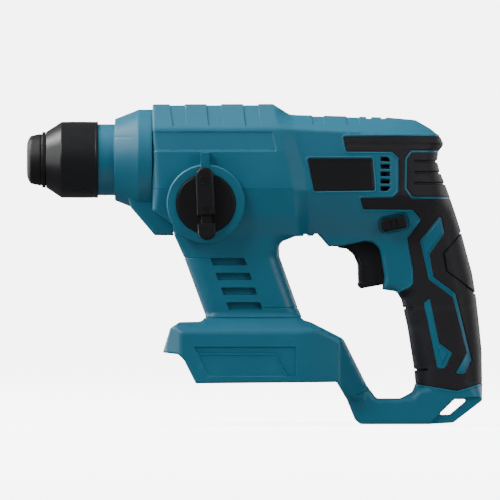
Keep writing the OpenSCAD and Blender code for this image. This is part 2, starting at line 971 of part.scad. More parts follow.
// A round wire along points [x, z] at a set y
module wire(route, y, r) {
    sides = 8;
    last = len(route) - 1;
    points = [for (i = [0:last])
        let (a = route[max(i, 1)] - route[max(i, 1) - 1],
            b = route[min(i, last - 1) + 1] - route[min(i, last - 1)],
            t = a / norm(a) + b / norm(b), reach = 2 * r / norm(t))
        for (k = [0:sides - 1])
            let (w = 360 * k / sides)
            [route[i][0] - reach * cos(w) * t[1] / norm(t), y + r * sin(w),
                route[i][1] + reach * cos(w) * t[0] / norm(t)]];
    near = [for (i = [0:last - 1]) for (k = [0:sides - 1])
        [i * sides + k, (i + 1) * sides + (k + 1) % sides, (i + 1) * sides + k]];
    far = [for (i = [0:last - 1]) for (k = [0:sides - 1])
        [i * sides + k, i * sides + (k + 1) % sides, (i + 1) * sides + (k + 1) % sides]];
    first = [[for (k = [sides - 1:-1:0]) k]];
    end = [[for (k = [0:sides - 1]) last * sides + k]];
    polyhedron(points, concat(near, far, first, end));
}

module wires() {
    supply = [[150, -118], [150.6, -101], [149, -92], [145, -92]];
    motor_leads = [[143, -68], [143, -65], [147, -58], [147.6, -49], [158, -41], [206, -39.4],
        [213, -32], [234, -31.6], [238.6, -42], [239.6, -47.6]];
    color([0.6, 0.1, 0.1])
        for (y = [-6, 6]) {
            wire(supply, y, 1.2);
            wire(motor_leads, y, 1.2);
        }
}

module terminal_block() {
    color(black) {
        block([140, 180], [-17, 17], [-121, -118]);
        block([176, 180], [-17, 17], [-126.5, -120.9]);
    }
}

module terminal_blades() {
    color(brass)
        for (y = [-11, -4, 4, 11])
            block([148, 170], [y - 0.4, y + 0.4], [-126.8, -121]);
}

module housing_screws() {
    color(steel)
        for_each_screw()
            difference() {
                union() {
                    translate([0, 0, -12]) cylinder(r = 1.9, h = 12 + screw_seat_y + 0.5);
                    translate([0, 0, screw_seat_y]) cylinder(r = 3.5, h = 2.6);
                }
                translate([0, 0, screw_seat_y + 1.2]) cylinder(r = 1.7, h = 3, $fn = 6);
            }
}

dust_cap();
locking_sleeve();
ball_ring();
locking_ball(1);  // upper_locking_ball
locking_ball(-1);  // lower_locking_ball
sleeve_spring();
retaining_ring();
spindle();
spindle_gear();
clutch_spring();
impact_bolt();
striker();
striker_seal_ring();
piston();
piston_seal_ring();
piston_pin();
wobble_ring();
wobble_hub();
countershaft();
countershaft_gear();
shift_sleeve();
countershaft_bearings();
oil_seal();
front_bearing();
bearing_bracket();
rear_bush();
nose_housing();
motor_plate();
left_housing();
right_housing();
grip_rubber([-100, -0.05]);  // left_grip_rubber
grip_rubber([0.05, 100]);  // right_grip_rubber
rear_pad();
side_plates();
mode_knob();
knob_lock_button();
knob_seal();
armature_shaft();
armature_core();
armature_windings();
commutator();
cooling_fan();
motor_yoke();
motor_magnets();
motor_bearings();
bearing_damper();
carbon_brushes();
brush_holders();
brush_plate();
trigger();
trigger_plunger();
trigger_spring();
power_switch();
direction_button();
controller();
wires();
terminal_block();
terminal_blades();
housing_screws();
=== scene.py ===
import logging
import math
from dataclasses import dataclass, field
from enum import Enum
from typing import Callable, Dict, List, Optional, Sequence, Tuple, Union

import bmesh
import bpy
import numpy as np
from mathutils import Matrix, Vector
from mathutils.geometry import delaunay_2d_cdt
from mathutils.kdtree import KDTree


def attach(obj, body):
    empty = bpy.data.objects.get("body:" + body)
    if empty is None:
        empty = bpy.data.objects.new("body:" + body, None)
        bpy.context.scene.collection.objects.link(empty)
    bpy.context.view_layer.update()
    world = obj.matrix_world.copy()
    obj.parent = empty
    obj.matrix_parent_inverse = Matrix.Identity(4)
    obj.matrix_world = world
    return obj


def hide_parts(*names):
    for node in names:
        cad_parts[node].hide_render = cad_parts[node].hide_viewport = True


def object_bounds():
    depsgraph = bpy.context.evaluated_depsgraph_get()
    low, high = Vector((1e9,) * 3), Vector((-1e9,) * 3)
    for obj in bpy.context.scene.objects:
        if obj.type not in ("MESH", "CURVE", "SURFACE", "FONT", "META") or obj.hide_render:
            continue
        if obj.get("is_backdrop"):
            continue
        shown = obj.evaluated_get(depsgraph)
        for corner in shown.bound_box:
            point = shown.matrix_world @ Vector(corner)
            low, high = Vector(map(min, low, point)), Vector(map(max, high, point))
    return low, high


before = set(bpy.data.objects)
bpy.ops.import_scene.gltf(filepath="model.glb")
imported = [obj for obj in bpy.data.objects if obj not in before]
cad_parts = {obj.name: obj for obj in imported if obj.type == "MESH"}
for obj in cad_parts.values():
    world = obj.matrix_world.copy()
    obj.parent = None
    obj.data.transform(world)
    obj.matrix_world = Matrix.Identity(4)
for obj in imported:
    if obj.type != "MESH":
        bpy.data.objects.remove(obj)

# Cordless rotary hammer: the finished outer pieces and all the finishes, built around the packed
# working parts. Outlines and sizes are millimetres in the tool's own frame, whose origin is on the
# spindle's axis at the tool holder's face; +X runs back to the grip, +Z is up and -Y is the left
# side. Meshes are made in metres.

MM = 0.001
# Millimetre tolerances of the meshes: welding, touching a rim, a guide's twin line, the gap left
# at the middle plane, the least wall and the least half width at a rounded edge
WELD = 0.004
ON_RIM = 0.001
GUIDE_TWIN = 0.06
SEAM_GAP = 0.04
MIN_WALL = 0.9
MIN_EDGE_Y = 0.12
Points = np.ndarray
Corner = Tuple[float, ...]
log = logging.getLogger("rotary_hammer")


class Side(Enum):
    """Which side of the middle plane a piece is on."""

    LEFT = -1
    RIGHT = 1


# ---------------------------------------------------------------- plane geometry


def run_of(corners: Sequence[Corner], closed: bool = True, spacing: float = 1.2) -> Points:
    """Turns corners into a run of points with arcs at the corners.

    Args:
        corners: (x, z), (x, z, corner radius) or (x, z, corner radius, edge radius).
        closed: whether the last corner joins the first.
        spacing: the longest step along a straight stretch.

    Returns:
        An (n, 3) array of x, z and edge radius.
    """
    full = np.array([tuple(c) + (0.0,) * (4 - len(c)) for c in corners], float)
    count = len(full)
    run: List[Points] = []
    for i, (x, z, radius, edge) in enumerate(full):
        here = np.array([x, z])
        ends = not closed and i in (0, count - 1)
        before, after = full[i - 1][:2] - here, full[(i + 1) % count][:2] - here
        reach = min(np.linalg.norm(before), np.linalg.norm(after))
        if radius <= 0 or ends or reach == 0:
            run.append(np.array([x, z, edge]))
            continue
        u, v = before / np.linalg.norm(before), after / np.linalg.norm(after)
        half = math.acos(max(-1.0, min(1.0, float(u @ v)))) / 2
        if half > math.radians(88):
            run.append(np.array([x, z, edge]))
            continue
        cut = min(radius / math.tan(half), 0.48 * reach)
        radius = cut * math.tan(half)
        middle = here + (u + v) / np.linalg.norm(u + v) * radius / math.sin(half)
        first, last = here + u * cut - middle, here + v * cut - middle
        start = math.atan2(first[1], first[0])
        sweep = (math.atan2(last[1], last[0]) - start + math.pi) % (2 * math.pi) - math.pi
        steps = max(2, math.ceil(abs(sweep) * max(1.0, radius / 1.2) / 0.45))
        for k in range(steps + 1):
            angle = start + sweep * k / steps
            run.append(np.array([*(middle + radius * np.array([math.cos(angle), math.sin(angle)])),
                                 edge]))
    return spaced(np.array(run), spacing, closed)


def spaced(run: Points, spacing: float, closed: bool) -> Points:
    """Adds points to a run so that no step is longer than spacing."""
    out: List[Points] = []
    count = len(run)
    for i in range(count if closed else count - 1):
        a, b = run[i], run[(i + 1) % count]
        steps = max(1, math.ceil(np.linalg.norm((b - a)[:2]) / spacing))
        out += [a + (b - a) * k / steps for k in range(steps)]
    if not closed:
        out.append(run[-1])
    return np.array(out)


def circle(x: float, z: float, radius: float, count: int = 48) -> Points:
    """A closed circle as an (n, 3) run."""
    angle = np.arange(count) * 2 * math.pi / count
    return np.stack([x + radius * np.cos(angle), z + radius * np.sin(angle), 0 * angle], 1)


def area(loop: Points) -> float:
    """Signed area of a closed run."""
    x, z = loop[:, 0], loop[:, 1]
    return 0.5 * float(np.sum(x * np.roll(z, -1) - np.roll(x, -1) * z))


def normals(run: Points, closed: bool = True) -> Points:
    """Unit normals at a run's points, on the left of its direction of travel."""
    xz = run[:, :2]
    if closed:
        after, before = np.roll(xz, -1, 0) - xz, xz - np.roll(xz, 1, 0)
    else:
        step = np.diff(xz, axis=0)
        after, before = np.vstack([step, step[-1:]]), np.vstack([step[:1], step])
    after = after / np.maximum(np.linalg.norm(after, axis=1, keepdims=True), 1e-9)
    before = before / np.maximum(np.linalg.norm(before, axis=1, keepdims=True), 1e-9)
    total = after + before
    length = np.maximum(np.linalg.norm(total, axis=1, keepdims=True), 0.3)
    mitre = 2 * total / length ** 2
    return np.stack([-mitre[:, 1], mitre[:, 0]], 1)


def inset(loop: Points, distance: float) -> Points:
    """A closed run moved inwards by distance."""
    out = loop.copy()
    out[:, :2] += normals(loop) * distance * (1 if area(loop) > 0 else -1)
    return out


def nearest(points: Points, run: Points, closed: bool = True) -> Tuple[Points, Points, Points]:
    """Finds the nearest place on a run for each point.

    Args:
        points: (n, 2) points.
        run: (m, 3) run.
        closed: whether the run closes.

    Returns:
        The distance, the run's third value there, and the unit vector from the run to the point.
    """
    a = run if closed else run[:-1]
    b = np.roll(run, -1, 0) if closed else run[1:]
    ab = (b - a)[:, :2]
    square = np.maximum((ab * ab).sum(1), 1e-12)
    distance, edge, away = [], [], []
    for start in range(0, len(points), 1500):
        q = points[start:start + 1500, None, :2] - a[None, :, :2]
        t = np.clip((q * ab).sum(2) / square, 0, 1)
        gap = q - t[..., None] * ab
        length = np.linalg.norm(gap, axis=2)
        best = length.argmin(1)
        rows = np.arange(len(best))
        distance.append(length[rows, best])
        edge.append(a[best, 2] + (b - a)[best, 2] * t[rows, best])
        away.append(gap[rows, best] / np.maximum(length[rows, best], 1e-6)[:, None])
    if not distance:
        return np.zeros(0), np.zeros(0), np.zeros((0, 2))
    return np.concatenate(distance), np.concatenate(edge), np.concatenate(away)


def contains(loop: Points, points: Points) -> Points:
    """Whether each point is inside a closed run."""
    result = np.zeros(len(points), bool)
    x0, z0 = loop[:, 0], loop[:, 1]
    x1, z1 = np.roll(x0, -1), np.roll(z0, -1)
    rise = np.where(z1 == z0, 1e-12, z1 - z0)
    for start in range(0, len(points), 4000):
        px, pz = points[start:start + 4000, 0, None], points[start:start + 4000, 1, None]
        crossing = ((z0 > pz) != (z1 > pz)) & (px < (x1 - x0) * (pz - z0) / rise + x0)
        result[start:start + 4000] = crossing.sum(1) % 2 == 1
    return result


def depth_inside(loop: Points, points: Points) -> Points:
    """Distance of each point inside a closed run, negative outside."""
    result = np.full(len(points), -99.0)
    low, high = loop[:, :2].min(0) - 1, loop[:, :2].max(0) + 1
    near = np.all((points[:, :2] >= low) & (points[:, :2] <= high), axis=1)
    if near.any():
        close = points[near]
        distance = nearest(close, loop)[0]
        result[near] = np.where(contains(loop, close), distance, -distance)
    return result


def point_tree(points: Points) -> KDTree:
    """A search tree over points in the side view."""
    tree = KDTree(len(points))
    for i, p in enumerate(points):
        tree.insert((p[0], p[1], 0), i)
    tree.balance()
    return tree


def smooth_interp(at: Points, table: Sequence[Tuple[float, float]], soft: float = 0.9) -> Points:
    """Straight-line interpolation in a table whose corners are rounded over a short width."""
    keys, values = np.array(sorted(table), float).T
    offsets = np.linspace(-soft, soft, 5)
    return sum(np.interp(at + o, keys, values) for o in offsets) / len(offsets)


def soft_max(a: Points, b: Points, width: float) -> Points:
    """The larger of two fields, with a fillet of about that width where they meet."""
    blend = np.maximum(width - np.abs(a - b), 0) / width
    return np.maximum(a, b) + blend * blend * width / 4


def soft_min(a: Points, b: Points, width: float) -> Points:
    """The smaller of two fields, with a rounded edge where they meet."""
    return -soft_max(-a, -b, width)


# ---------------------------------------------------------------- relief features


@dataclass(frozen=True)
class Step:
    """A recess or a raised panel: the surface moves along its normal inside a loop."""

    loop: Points
    depth: float
    wall: float = 0.3

    def mask(self, points: Points) -> Points:
        """Share of the full depth at each point."""
        return np.clip(depth_inside(self.loop, points) / self.wall, 0, 1)

    def lines(self) -> List[Tuple[Points, bool]]:
        """Runs that the mesh follows, and whether each closes."""
        return [(self.loop, True), (inset(self.loop, self.wall), True)]


@dataclass(frozen=True)
class Groove:
    """A rounded channel, or a bead where depth is above zero, along a run."""

    run: Points
    width: float
    depth: float
    closed: bool = False

    def mask(self, points: Points) -> Points:
        """Share of the full depth at each point."""
        result = np.zeros(len(points))
        low = self.run[:, :2].min(0) - self.width
        high = self.run[:, :2].max(0) + self.width
        near = np.all((points[:, :2] >= low) & (points[:, :2] <= high), axis=1)
        if near.any():
            distance = nearest(points[near], self.run, self.closed)[0]
            share = np.clip(1 - distance / (self.width / 2), 0, 1)
            result[near] = np.clip(share * 1.6, 0, 1)
        return result

    def lines(self) -> List[Tuple[Points, bool]]:
        """Runs that the mesh follows, and whether each closes."""
        side = normals(self.run, self.closed)
        out = [(self.run, self.closed)]
        for offset in (-0.5, -0.19, 0.19, 0.5):
            copy = self.run.copy()
            copy[:, :2] += side * self.width * offset
            out.append((copy, self.closed))
        return out


@dataclass(frozen=True)
class Level:
    """A flat floor or plateau at a set distance from the middle plane."""

    loop: Points
    y: float
    wall: float = 0.08

    def mask(self, points: Points) -> Points:
        """Share of the level at each point."""
        return np.clip(depth_inside(self.loop, points) / self.wall, 0, 1)

    def lines(self) -> List[Tuple[Points, bool]]:
        """Runs that the mesh follows, and whether each closes."""
        return [(self.loop, True), (inset(self.loop, self.wall), True)]


Feature = Union[Step, Groove, Level]
Field = Callable[[Points], Points]


@dataclass
class Slab:
    """A closed solid between an outer and an inner surface over one side outline.

    Attributes:
        outline: the closed side outline with its edge radius.
        height: distance of the outer surface from the middle plane, before its edges are rounded.
        inner: distance of the inner surface, or None for a solid that is its own mirror image.
        skin: thickness of a skin that follows the outer surface, in place of an inner field.
        openings: closed runs that go right through and whose edges are rounded too.
        holes: closed runs that go right through with plain edges.
        features: recesses, grooves and levels of the outer surface.
        region: keeps only what is inside this run, or None.
        guides: closed runs that the mesh follows on both of its surfaces.
        sink: how far the whole outer surface lies below height, along its normal.
        spacing: size of the mesh's triangles.
        rings: rows of points over a rounded edge.
    """

    outline: Points
    height: Field
    inner: Optional[Field] = None
    skin: Optional[float] = None
    openings: Sequence[Points] = ()
    holes: Sequence[Points] = ()
    features: Sequence[Feature] = ()
    region: Optional[Points] = None
    guides: Sequence[Points] = ()
    sink: float = 0.0
    spacing: float = 1.3
    rings: int = 6

    def __post_init__(self) -> None:
        """Works out which way is out of the material along every rounded edge."""
        self.rims = [self.outline, *self.openings]
        outward = []
        for i, loop in enumerate(self.rims):
            turn = (1 if area(loop) > 0 else -1) * (1 if i else -1)
            side = normals(loop) * turn
            outward.append(side / np.maximum(np.linalg.norm(side, axis=1, keepdims=True), 1e-6))
        self.outward = np.vstack(outward)
        self.rim_tree = point_tree(np.vstack(self.rims))

    def nearest_rim(self, flat: Points) -> Tuple[Points, Points, Points]:
        """Distance to the nearest rounded edge, that edge's radius, and the way from it."""
        found = [nearest(flat, rim) for rim in self.rims]
        best = np.argmin([f[0] for f in found], axis=0)
        rows = np.arange(len(flat))
        depth, radius, away = (np.array([f[k] for f in found])[best, rows] for k in range(3))
        return depth, radius, away

    def triangles(self) -> Tuple[Points, Points]:
        """Triangulates the outline along all its lines.

        Returns:
            (n, 2) points and (m, 3) triangles.
        """
        runs: List[Tuple[Points, bool]] = [(r, True) for r in (*self.rims, *self.holes)]
        if self.region is not None:
            runs.append((self.region, True))
        for guide in self.guides:
            runs += [(spaced(guide, self.spacing, True), True),
                     (spaced(inset(guide, GUIDE_TWIN), self.spacing, True), True)]
        for feature in self.features:
            runs += [(spaced(r, self.spacing, c), c) for r, c in feature.lines()]
        points: List[Points] = []
        edges: List[Tuple[int, int]] = []
        for run, closed in runs:
            first, count = len(points), len(run)
            points += [p[:2] for p in run]
            edges += [(first + i, first + (i + 1) % count)
                      for i in range(count if closed else count - 1)]
        for extra, room in ((self._ring_points(), 0.3), (self._grid_points(), 0.5)):
            tree = point_tree(np.array(points))
            points += [p for p in extra if tree.find((p[0], p[1], 0))[2] > room * self.spacing]
        made = delaunay_2d_cdt([Vector(p) for p in points], edges, [], 0, 1e-4, False)
        flat = np.array([tuple(v) for v in made[0]])
        tris = np.array([f for f in made[2] if len(f) == 3])
        tris = tris[self.inside(flat[tris].mean(1))]
        used, tris = np.unique(tris, return_inverse=True)
        return flat[used], tris.reshape(-1, 3)

    def inside(self, flat: Points) -> Points:
        """Whether each point is in the material."""
        keep = contains(self.outline, flat)
        if self.region is not None:
            keep &= contains(self.region, flat)
        for hole in (*self.openings, *self.holes):
            keep &= ~contains(hole, flat)
        return keep

    def _ring_points(self) -> Points:
        """Points in rows along the rounded edges, closer together where the edge turns over."""
        loops = np.vstack(self.rims)
        rows = []
        for k in range(1, self.rings + 1):
            depth = loops[:, 2:3] * (1 - math.cos(math.pi / 2 * k / self.rings))
            ring = loops[:, :2] - self.outward * depth
            true_depth = self.nearest_rim(ring)[0]
            rows.append(ring[(true_depth > depth[:, 0] * 0.96) & self.inside(ring)])
        return np.vstack(rows)

    def _grid_points(self) -> Points:
        """A regular grid inside the outline."""
        low, high = self.outline[:, :2].min(0), self.outline[:, :2].max(0)
        if self.region is not None:
            low = np.maximum(low, self.region[:, :2].min(0))
            high = np.minimum(high, self.region[:, :2].max(0))
        xs = np.arange(low[0], high[0], self.spacing)
        zs = np.arange(low[1], high[1], self.spacing * 0.87)
        grid = np.array([(x + (j % 2) * self.spacing / 2, z) for j, z in enumerate(zs) for x in xs])
        grid = grid[self.inside(grid)]
        return grid[self.nearest_rim(grid)[0] > 0.6 * self.spacing]

    def surface(self, flat: Points, features: Sequence[Feature],
                sink: float) -> Tuple[Points, Points]:
        """Places points on the outer surface.

        Args:
            flat: (n, 2) points x, z.
            features: what is cut into the surface.
            sink: how far the whole surface lies in, along its normal.

        Returns:
            (n, 3) points x, y, z with y measured from the middle plane, and whether each point
            is on a rounded edge's rim.
        """
        depth, radius, away = self.nearest_rim(flat)
        base = self.height(flat)
        radius = np.clip(radius, 1e-3, np.maximum(base - MIN_EDGE_Y, 1e-3))
        share = np.clip(1 - depth / radius, 0, 1)
        rise = np.sqrt(np.maximum(1 - share ** 2, 0))
        y = base - radius * (1 - rise)
        step = 0.25
        slope_x = (self.height(flat + [step, 0]) - self.height(flat - [step, 0])) / (2 * step)
        slope_z = (self.height(flat + [0, step]) - self.height(flat - [0, step])) / (2 * step)
        normal = np.stack([-slope_x * rise - away[:, 0] * share, rise,
                           -slope_z * rise - away[:, 1] * share], 1)
        on_rim = depth < ON_RIM
        for i in np.nonzero(on_rim)[0]:
            out = self.outward[self.rim_tree.find((flat[i, 0], flat[i, 1], 0))[1]]
            normal[i] = (out[0], 0, out[1]) if radius[i] > 0.05 else (0, 1, 0)
        for hole in self.holes:
            normal[nearest(flat, hole)[0] < ON_RIM] = (0, 1, 0)
        normal /= np.maximum(np.linalg.norm(normal, axis=1, keepdims=True), 1e-9)
        shift = np.full(len(flat), -sink)
        for feature in features:
            if not isinstance(feature, Level):
                shift += feature.mask(flat) * feature.depth
        placed = np.stack([flat[:, 0], y, flat[:, 1]], 1) + normal * shift[:, None]
        for feature in features:
            if isinstance(feature, Level):
                placed[:, 1] += (feature.y - placed[:, 1]) * feature.mask(flat)
        return placed, on_rim

    def build(self, name: str, place: Callable[[Points], Points],
              across: bool = False) -> bpy.types.Object:
        """Makes the mesh object.

        Args:
            name: the object's name.
            place: turns (x, y, z) in millimetres, y from the middle plane, into the tool's frame.
            across: for a skin, whether it runs on over the middle plane to the other side.

        Returns:
            The new object, with smooth faces and sharp corners.
        """
        flat, tris = self.triangles()
        outer, on_rim = self.surface(flat, self.features, self.sink)
        count = len(flat)
        if self.skin is not None:
            inner = self.surface(flat, (), self.skin)[0]
        elif self.inner is not None:
            inner = outer.copy()
            room = np.minimum(self.inner(flat), outer[:, 1] - MIN_WALL)
            inner[:, 1] = np.maximum(room, SEAM_GAP)
        else:
            inner = outer * [1, -1, 1]
        ends = np.sort(tris[:, [0, 1, 1, 2, 2, 0]].reshape(-1, 2), axis=1)
        pairs, times = np.unique(ends, axis=0, return_counts=True)
        rim = pairs[times == 1]
        faces = [tuple(t) for t in tris] + [tuple(t[::-1] + count) for t in tris]
        shut = on_rim[rim].all(1) & (self.skin is not None)
        faces += [(a, b, b + count, a + count) for a, b in rim[~shut]]
        points = np.vstack([outer, inner])
        if shut.any():
            level = 0.0 if across else SEAM_GAP
            ring = [outer * [1, 0, 1] + [0, level, 0], inner * [1, 0, 1] + [0, level, 0]]
            points = np.vstack([points, *ring])
            for a, b in rim[shut]:
                faces += [(a, b, b + 2 * count, a + 2 * count),
                          (a + count, b + count, b + 3 * count, a + 3 * count)]
                if not across:
                    faces.append((a + 2 * count, b + 2 * count, b + 3 * count, a + 3 * count))
            for v in np.intersect1d(rim[shut], rim[~shut]):
                faces.append((v, v + 2 * count, v + 3 * count, v + count))
        if across:
            total = len(points)
            faces += [tuple(i + total for i in reversed(f)) for f in faces]
            points = np.vstack([points, points * [1, -1, 1]])
        return mesh_object(name, place(points), faces)


def mesh_object(name: str, points: Points, faces: Sequence[Sequence[int]],
                sharp: float = 34.0) -> bpy.types.Object:
    """Makes an object from millimetre points, welded, with outward faces and sharp corners.

    Args:
        name: the object's name.
        points: (n, 3) points in millimetres.
        faces: vertex numbers of each face.
        sharp: angle in degrees above which an edge stays sharp.

    Returns:
        The object, linked to the scene.
    """
    mesh = bpy.data.meshes.new(name)
    mesh.from_pydata((np.asarray(points) * MM).tolist(), [], [list(map(int, f)) for f in faces])
    work = bmesh.new()
    work.from_mesh(mesh)
    bmesh.ops.remove_doubles(work, verts=work.verts, dist=WELD * MM)
    bmesh.ops.dissolve_degenerate(work, edges=work.edges, dist=WELD * MM / 4)
    loose = [v for v in work.verts if not v.link_faces]
    bmesh.ops.delete(work, geom=loose, context="VERTS")
    bmesh.ops.recalc_face_normals(work, faces=work.faces)
    work.to_mesh(mesh)
    work.free()
    finish_mesh(mesh, sharp)
    piece = bpy.data.objects.new(name, mesh)
    bpy.context.scene.collection.objects.link(piece)
    return piece


def finish_mesh(mesh: bpy.types.Mesh, sharp: float = 34.0) -> None:
    """Smooths a mesh's faces and keeps its corners sharp."""
    mesh.shade_smooth()
    mesh.set_sharp_from_angle(angle=math.radians(sharp))


def on_side(side: Side) -> Callable[[Points], Points]:
    """A placer for pieces on one side of the middle plane."""
    return lambda points: points * [1, side.value, 1]


def lathe(name: str, profile: Sequence[Corner], z: float = 0.0, count: int = 128,
          spacing: float = 1.5, relief: Optional[Field] = None) -> bpy.types.Object:
    """A solid turned about the X axis.

    Args:
        name: the object's name.
        profile: closed (x, radius, corner radius) corners.
        z: height of the axis.
        count: steps round the axis.
        spacing: longest step along the profile.
        relief: how far points (x, y, z) move away from the axis, or None.

    Returns:
        The object.
    """
    run = run_of(profile, spacing=spacing)
    rows = len(run)
    angle = np.arange(count) * 2 * math.pi / count
    x, radius = np.repeat(run[:, 0], count), np.repeat(run[:, 1], count)
    turn = np.tile(angle, rows)
    if relief is not None:
        radius = radius + relief(np.stack([x, radius * np.cos(turn), radius * np.sin(turn)], 1))
    points = np.stack([x, radius * np.cos(turn), z + radius * np.sin(turn)], 1)
    faces = [(i * count + k, ((i + 1) % rows) * count + k,
              ((i + 1) % rows) * count + (k + 1) % count, i * count + (k + 1) % count)
             for i in range(rows) for k in range(count)]
    return mesh_object(name, points, faces)


def combined(name: str, base: bpy.types.Object, others: Sequence[bpy.types.Object],
             cuts: Sequence[bpy.types.Object] = ()) -> bpy.types.Object:
    """Unites solids with a base, then cuts others out of it, by exact booleans.

    Args:
        name: the result's name.
        base: the solid to start from, which becomes the result.
        others: solids to add, which are removed from the scene.
        cuts: solids to take away, which are removed too.

    Returns:
        The base with its new mesh.
    """
    for operation, tools in (("UNION", others), ("DIFFERENCE", cuts)):
        for tool in tools:
            modifier = base.modifiers.new("shape", "BOOLEAN")
            modifier.operation = operation
            modifier.solver = "EXACT"
            modifier.object = tool
    bpy.context.view_layer.update()
    graph = bpy.context.evaluated_depsgraph_get()
    mesh = bpy.data.meshes.new_from_object(base.evaluated_get(graph))
    base.modifiers.clear()
    base.data = mesh
    base.name = mesh.name = name
    finish_mesh(mesh)
    for tool in (*others, *cuts):
        bpy.data.objects.remove(tool)
    return base


# ---------------------------------------------------------------- shaders


class Wire:
    """A value socket with arithmetic: each operator adds a Math node."""

    def __init__(self, shader: "Shader", socket: bpy.types.NodeSocket) -> None:
        """Wraps a socket of a shader."""
        self.shader, self.socket = shader, socket

    def _math(self, operation: str, *values: Union["Wire", float]) -> "Wire":
        """Adds one Math node."""
        return self.shader.node("ShaderNodeMath", {"operation": operation},
                                dict(enumerate(values)))

    def __add__(self, other: Union["Wire", float]) -> "Wire":
        """self + other."""
        return self._math("ADD", self, other)

    __radd__ = __add__

    def __sub__(self, other: Union["Wire", float]) -> "Wire":
        """self - other."""
        return self._math("SUBTRACT", self, other)

    def __rsub__(self, other: float) -> "Wire":
        """other - self."""
        return self._math("SUBTRACT", other, self)

    def __mul__(self, other: Union["Wire", float]) -> "Wire":
        """self * other."""
        return self._math("MULTIPLY", self, other)

    __rmul__ = __mul__


class Shader:
    """A material's node tree with a principled surface."""

    def __init__(self, name: str) -> None:
        """Makes an empty material of that name."""
        self.material = bpy.data.materials.new(name)
        self.material.use_nodes = True
        self.tree = self.material.node_tree
        self.tree.nodes.clear()
        self.surface = self.tree.nodes.new("ShaderNodeBsdfPrincipled")
        output = self.tree.nodes.new("ShaderNodeOutputMaterial")
        self.tree.links.new(self.surface.outputs[0], output.inputs[0])
        self.position = self.node("ShaderNodeTexCoord", output="Object")

    def node(self, kind: str, settings: Optional[Dict[str, object]] = None,
             inputs: Optional[Dict[Union[int, str], object]] = None,
             output: Union[int, str] = 0) -> Wire:
        """Adds a node.

        Args:
            kind: the node's type.
            settings: its properties; "ramp" holds a ramp's (position, value or colour) stops.
            inputs: values or wires by socket name or number.
            output: which output to return.

        Returns:
            The output as a Wire.
        """
        made = self.tree.nodes.new(kind)
        for key, value in (settings or {}).items():
            if key == "ramp":
                ramp_stops(made.color_ramp, value)
            else:
                setattr(made, key, value)
        for key, value in (inputs or {}).items():
            if isinstance(value, Wire):
                self.tree.links.new(value.socket, made.inputs[key])
            else:
                made.inputs[key].default_value = value
        return Wire(self, made.outputs[output])

    def noise(self, scale: float, detail: float = 3.0, roughness: float = 0.5,
              at: Optional[Wire] = None) -> Wire:
        """Noise between 0 and 1, with scale in cycles per metre."""
        return self.node("ShaderNodeTexNoise", {},
                         {"Vector": at or self.position, "Scale": scale, "Detail": detail,
                          "Roughness": roughness})

    def mix(self, share: Union[Wire, float], a: object, b: object) -> Wire:
        """Mixes two colours."""
        made = self.tree.nodes.new("ShaderNodeMix")
        made.data_type = "RGBA"
        for index, value in ((0, share), (6, a), (7, b)):
            if isinstance(value, Wire):
                self.tree.links.new(value.socket, made.inputs[index])
            else:
                made.inputs[index].default_value = value
        return Wire(self, made.outputs[2])

    def set(self, **sockets: object) -> None:
        """Sets or links the surface's sockets; underscores stand for spaces."""
        for key, value in sockets.items():
            target = self.surface.inputs[key.replace("_", " ").title().replace("Ior", "IOR")]
            if isinstance(value, Wire):
                self.tree.links.new(value.socket, target)
            else:
                target.default_value = value

    def bump(self, height: Wire, distance: float, strength: float = 1.0,
             under: Optional[Wire] = None) -> Wire:
        """A bumped normal from a height, with distance in metres."""
        inputs: Dict[Union[int, str], object] = {"Height": height, "Distance": distance,
                                                 "Strength": strength}
        if under is not None:
            inputs["Normal"] = under
        return self.node("ShaderNodeBump", {}, inputs)


def ramp_stops(ramp: bpy.types.ColorRamp, stops: Sequence[Tuple[float, float]]) -> None:
    """Sets a colour ramp's stops from (position, grey) pairs."""
    while len(ramp.elements) < len(stops):
        ramp.elements.new(1.0)
    for element, (position, grey) in zip(ramp.elements, stops):
        element.position = position
        element.color = (grey, grey, grey, 1)


def rgba(red: float, green: float, blue: float) -> Tuple[float, float, float, float]:
    """An opaque linear colour."""
    return (red, green, blue, 1.0)


@dataclass(frozen=True)
class MouldedPlastic:
    """Spark-eroded moulded plastic, a little paler where its edges are rubbed."""

    name: str
    colour: Tuple[float, float, float]
    roughness: float
    grain: float = 1500.0
    grain_depth: float = 0.00003
    specular: float = 0.5
    rub: float = 0.35

    def material(self) -> bpy.types.Material:
        """Builds the material."""
        shader = Shader(self.name)
        cloud = shader.noise(38, 4)
        fine = shader.noise(self.grain, 2, 0.6)
        pits = shader.noise(self.grain * 0.45, 3, 0.6)
        edge = shader.node("ShaderNodeNewGeometry", output="Pointiness")
        worn = shader.node("ShaderNodeValToRGB", {"ramp": ((0.52, 0.0), (0.62, 1.0))}, {0: edge})
        worn = worn * shader.node("ShaderNodeValToRGB", {"ramp": ((0.42, 0.0), (0.66, 1.0))},
                                  {0: shader.noise(240, 4)})
        dark, light = [c * 0.9 for c in self.colour], [min(1, c * 1.09) for c in self.colour]
        pale = [min(1, c * 1.6 + 0.02) for c in self.colour]
        base = shader.mix(cloud, rgba(*dark), rgba(*light))
        shader.set(base_color=shader.mix(worn * self.rub, base, rgba(*pale)),
                   roughness=self.roughness + 0.12 * (fine - 0.5) + 0.10 * (cloud - 0.5),
                   normal=shader.bump(fine * 0.6 + pits * 0.6, self.grain_depth))
        shader.surface.inputs["Specular IOR Level"].default_value = self.specular
        return shader.material


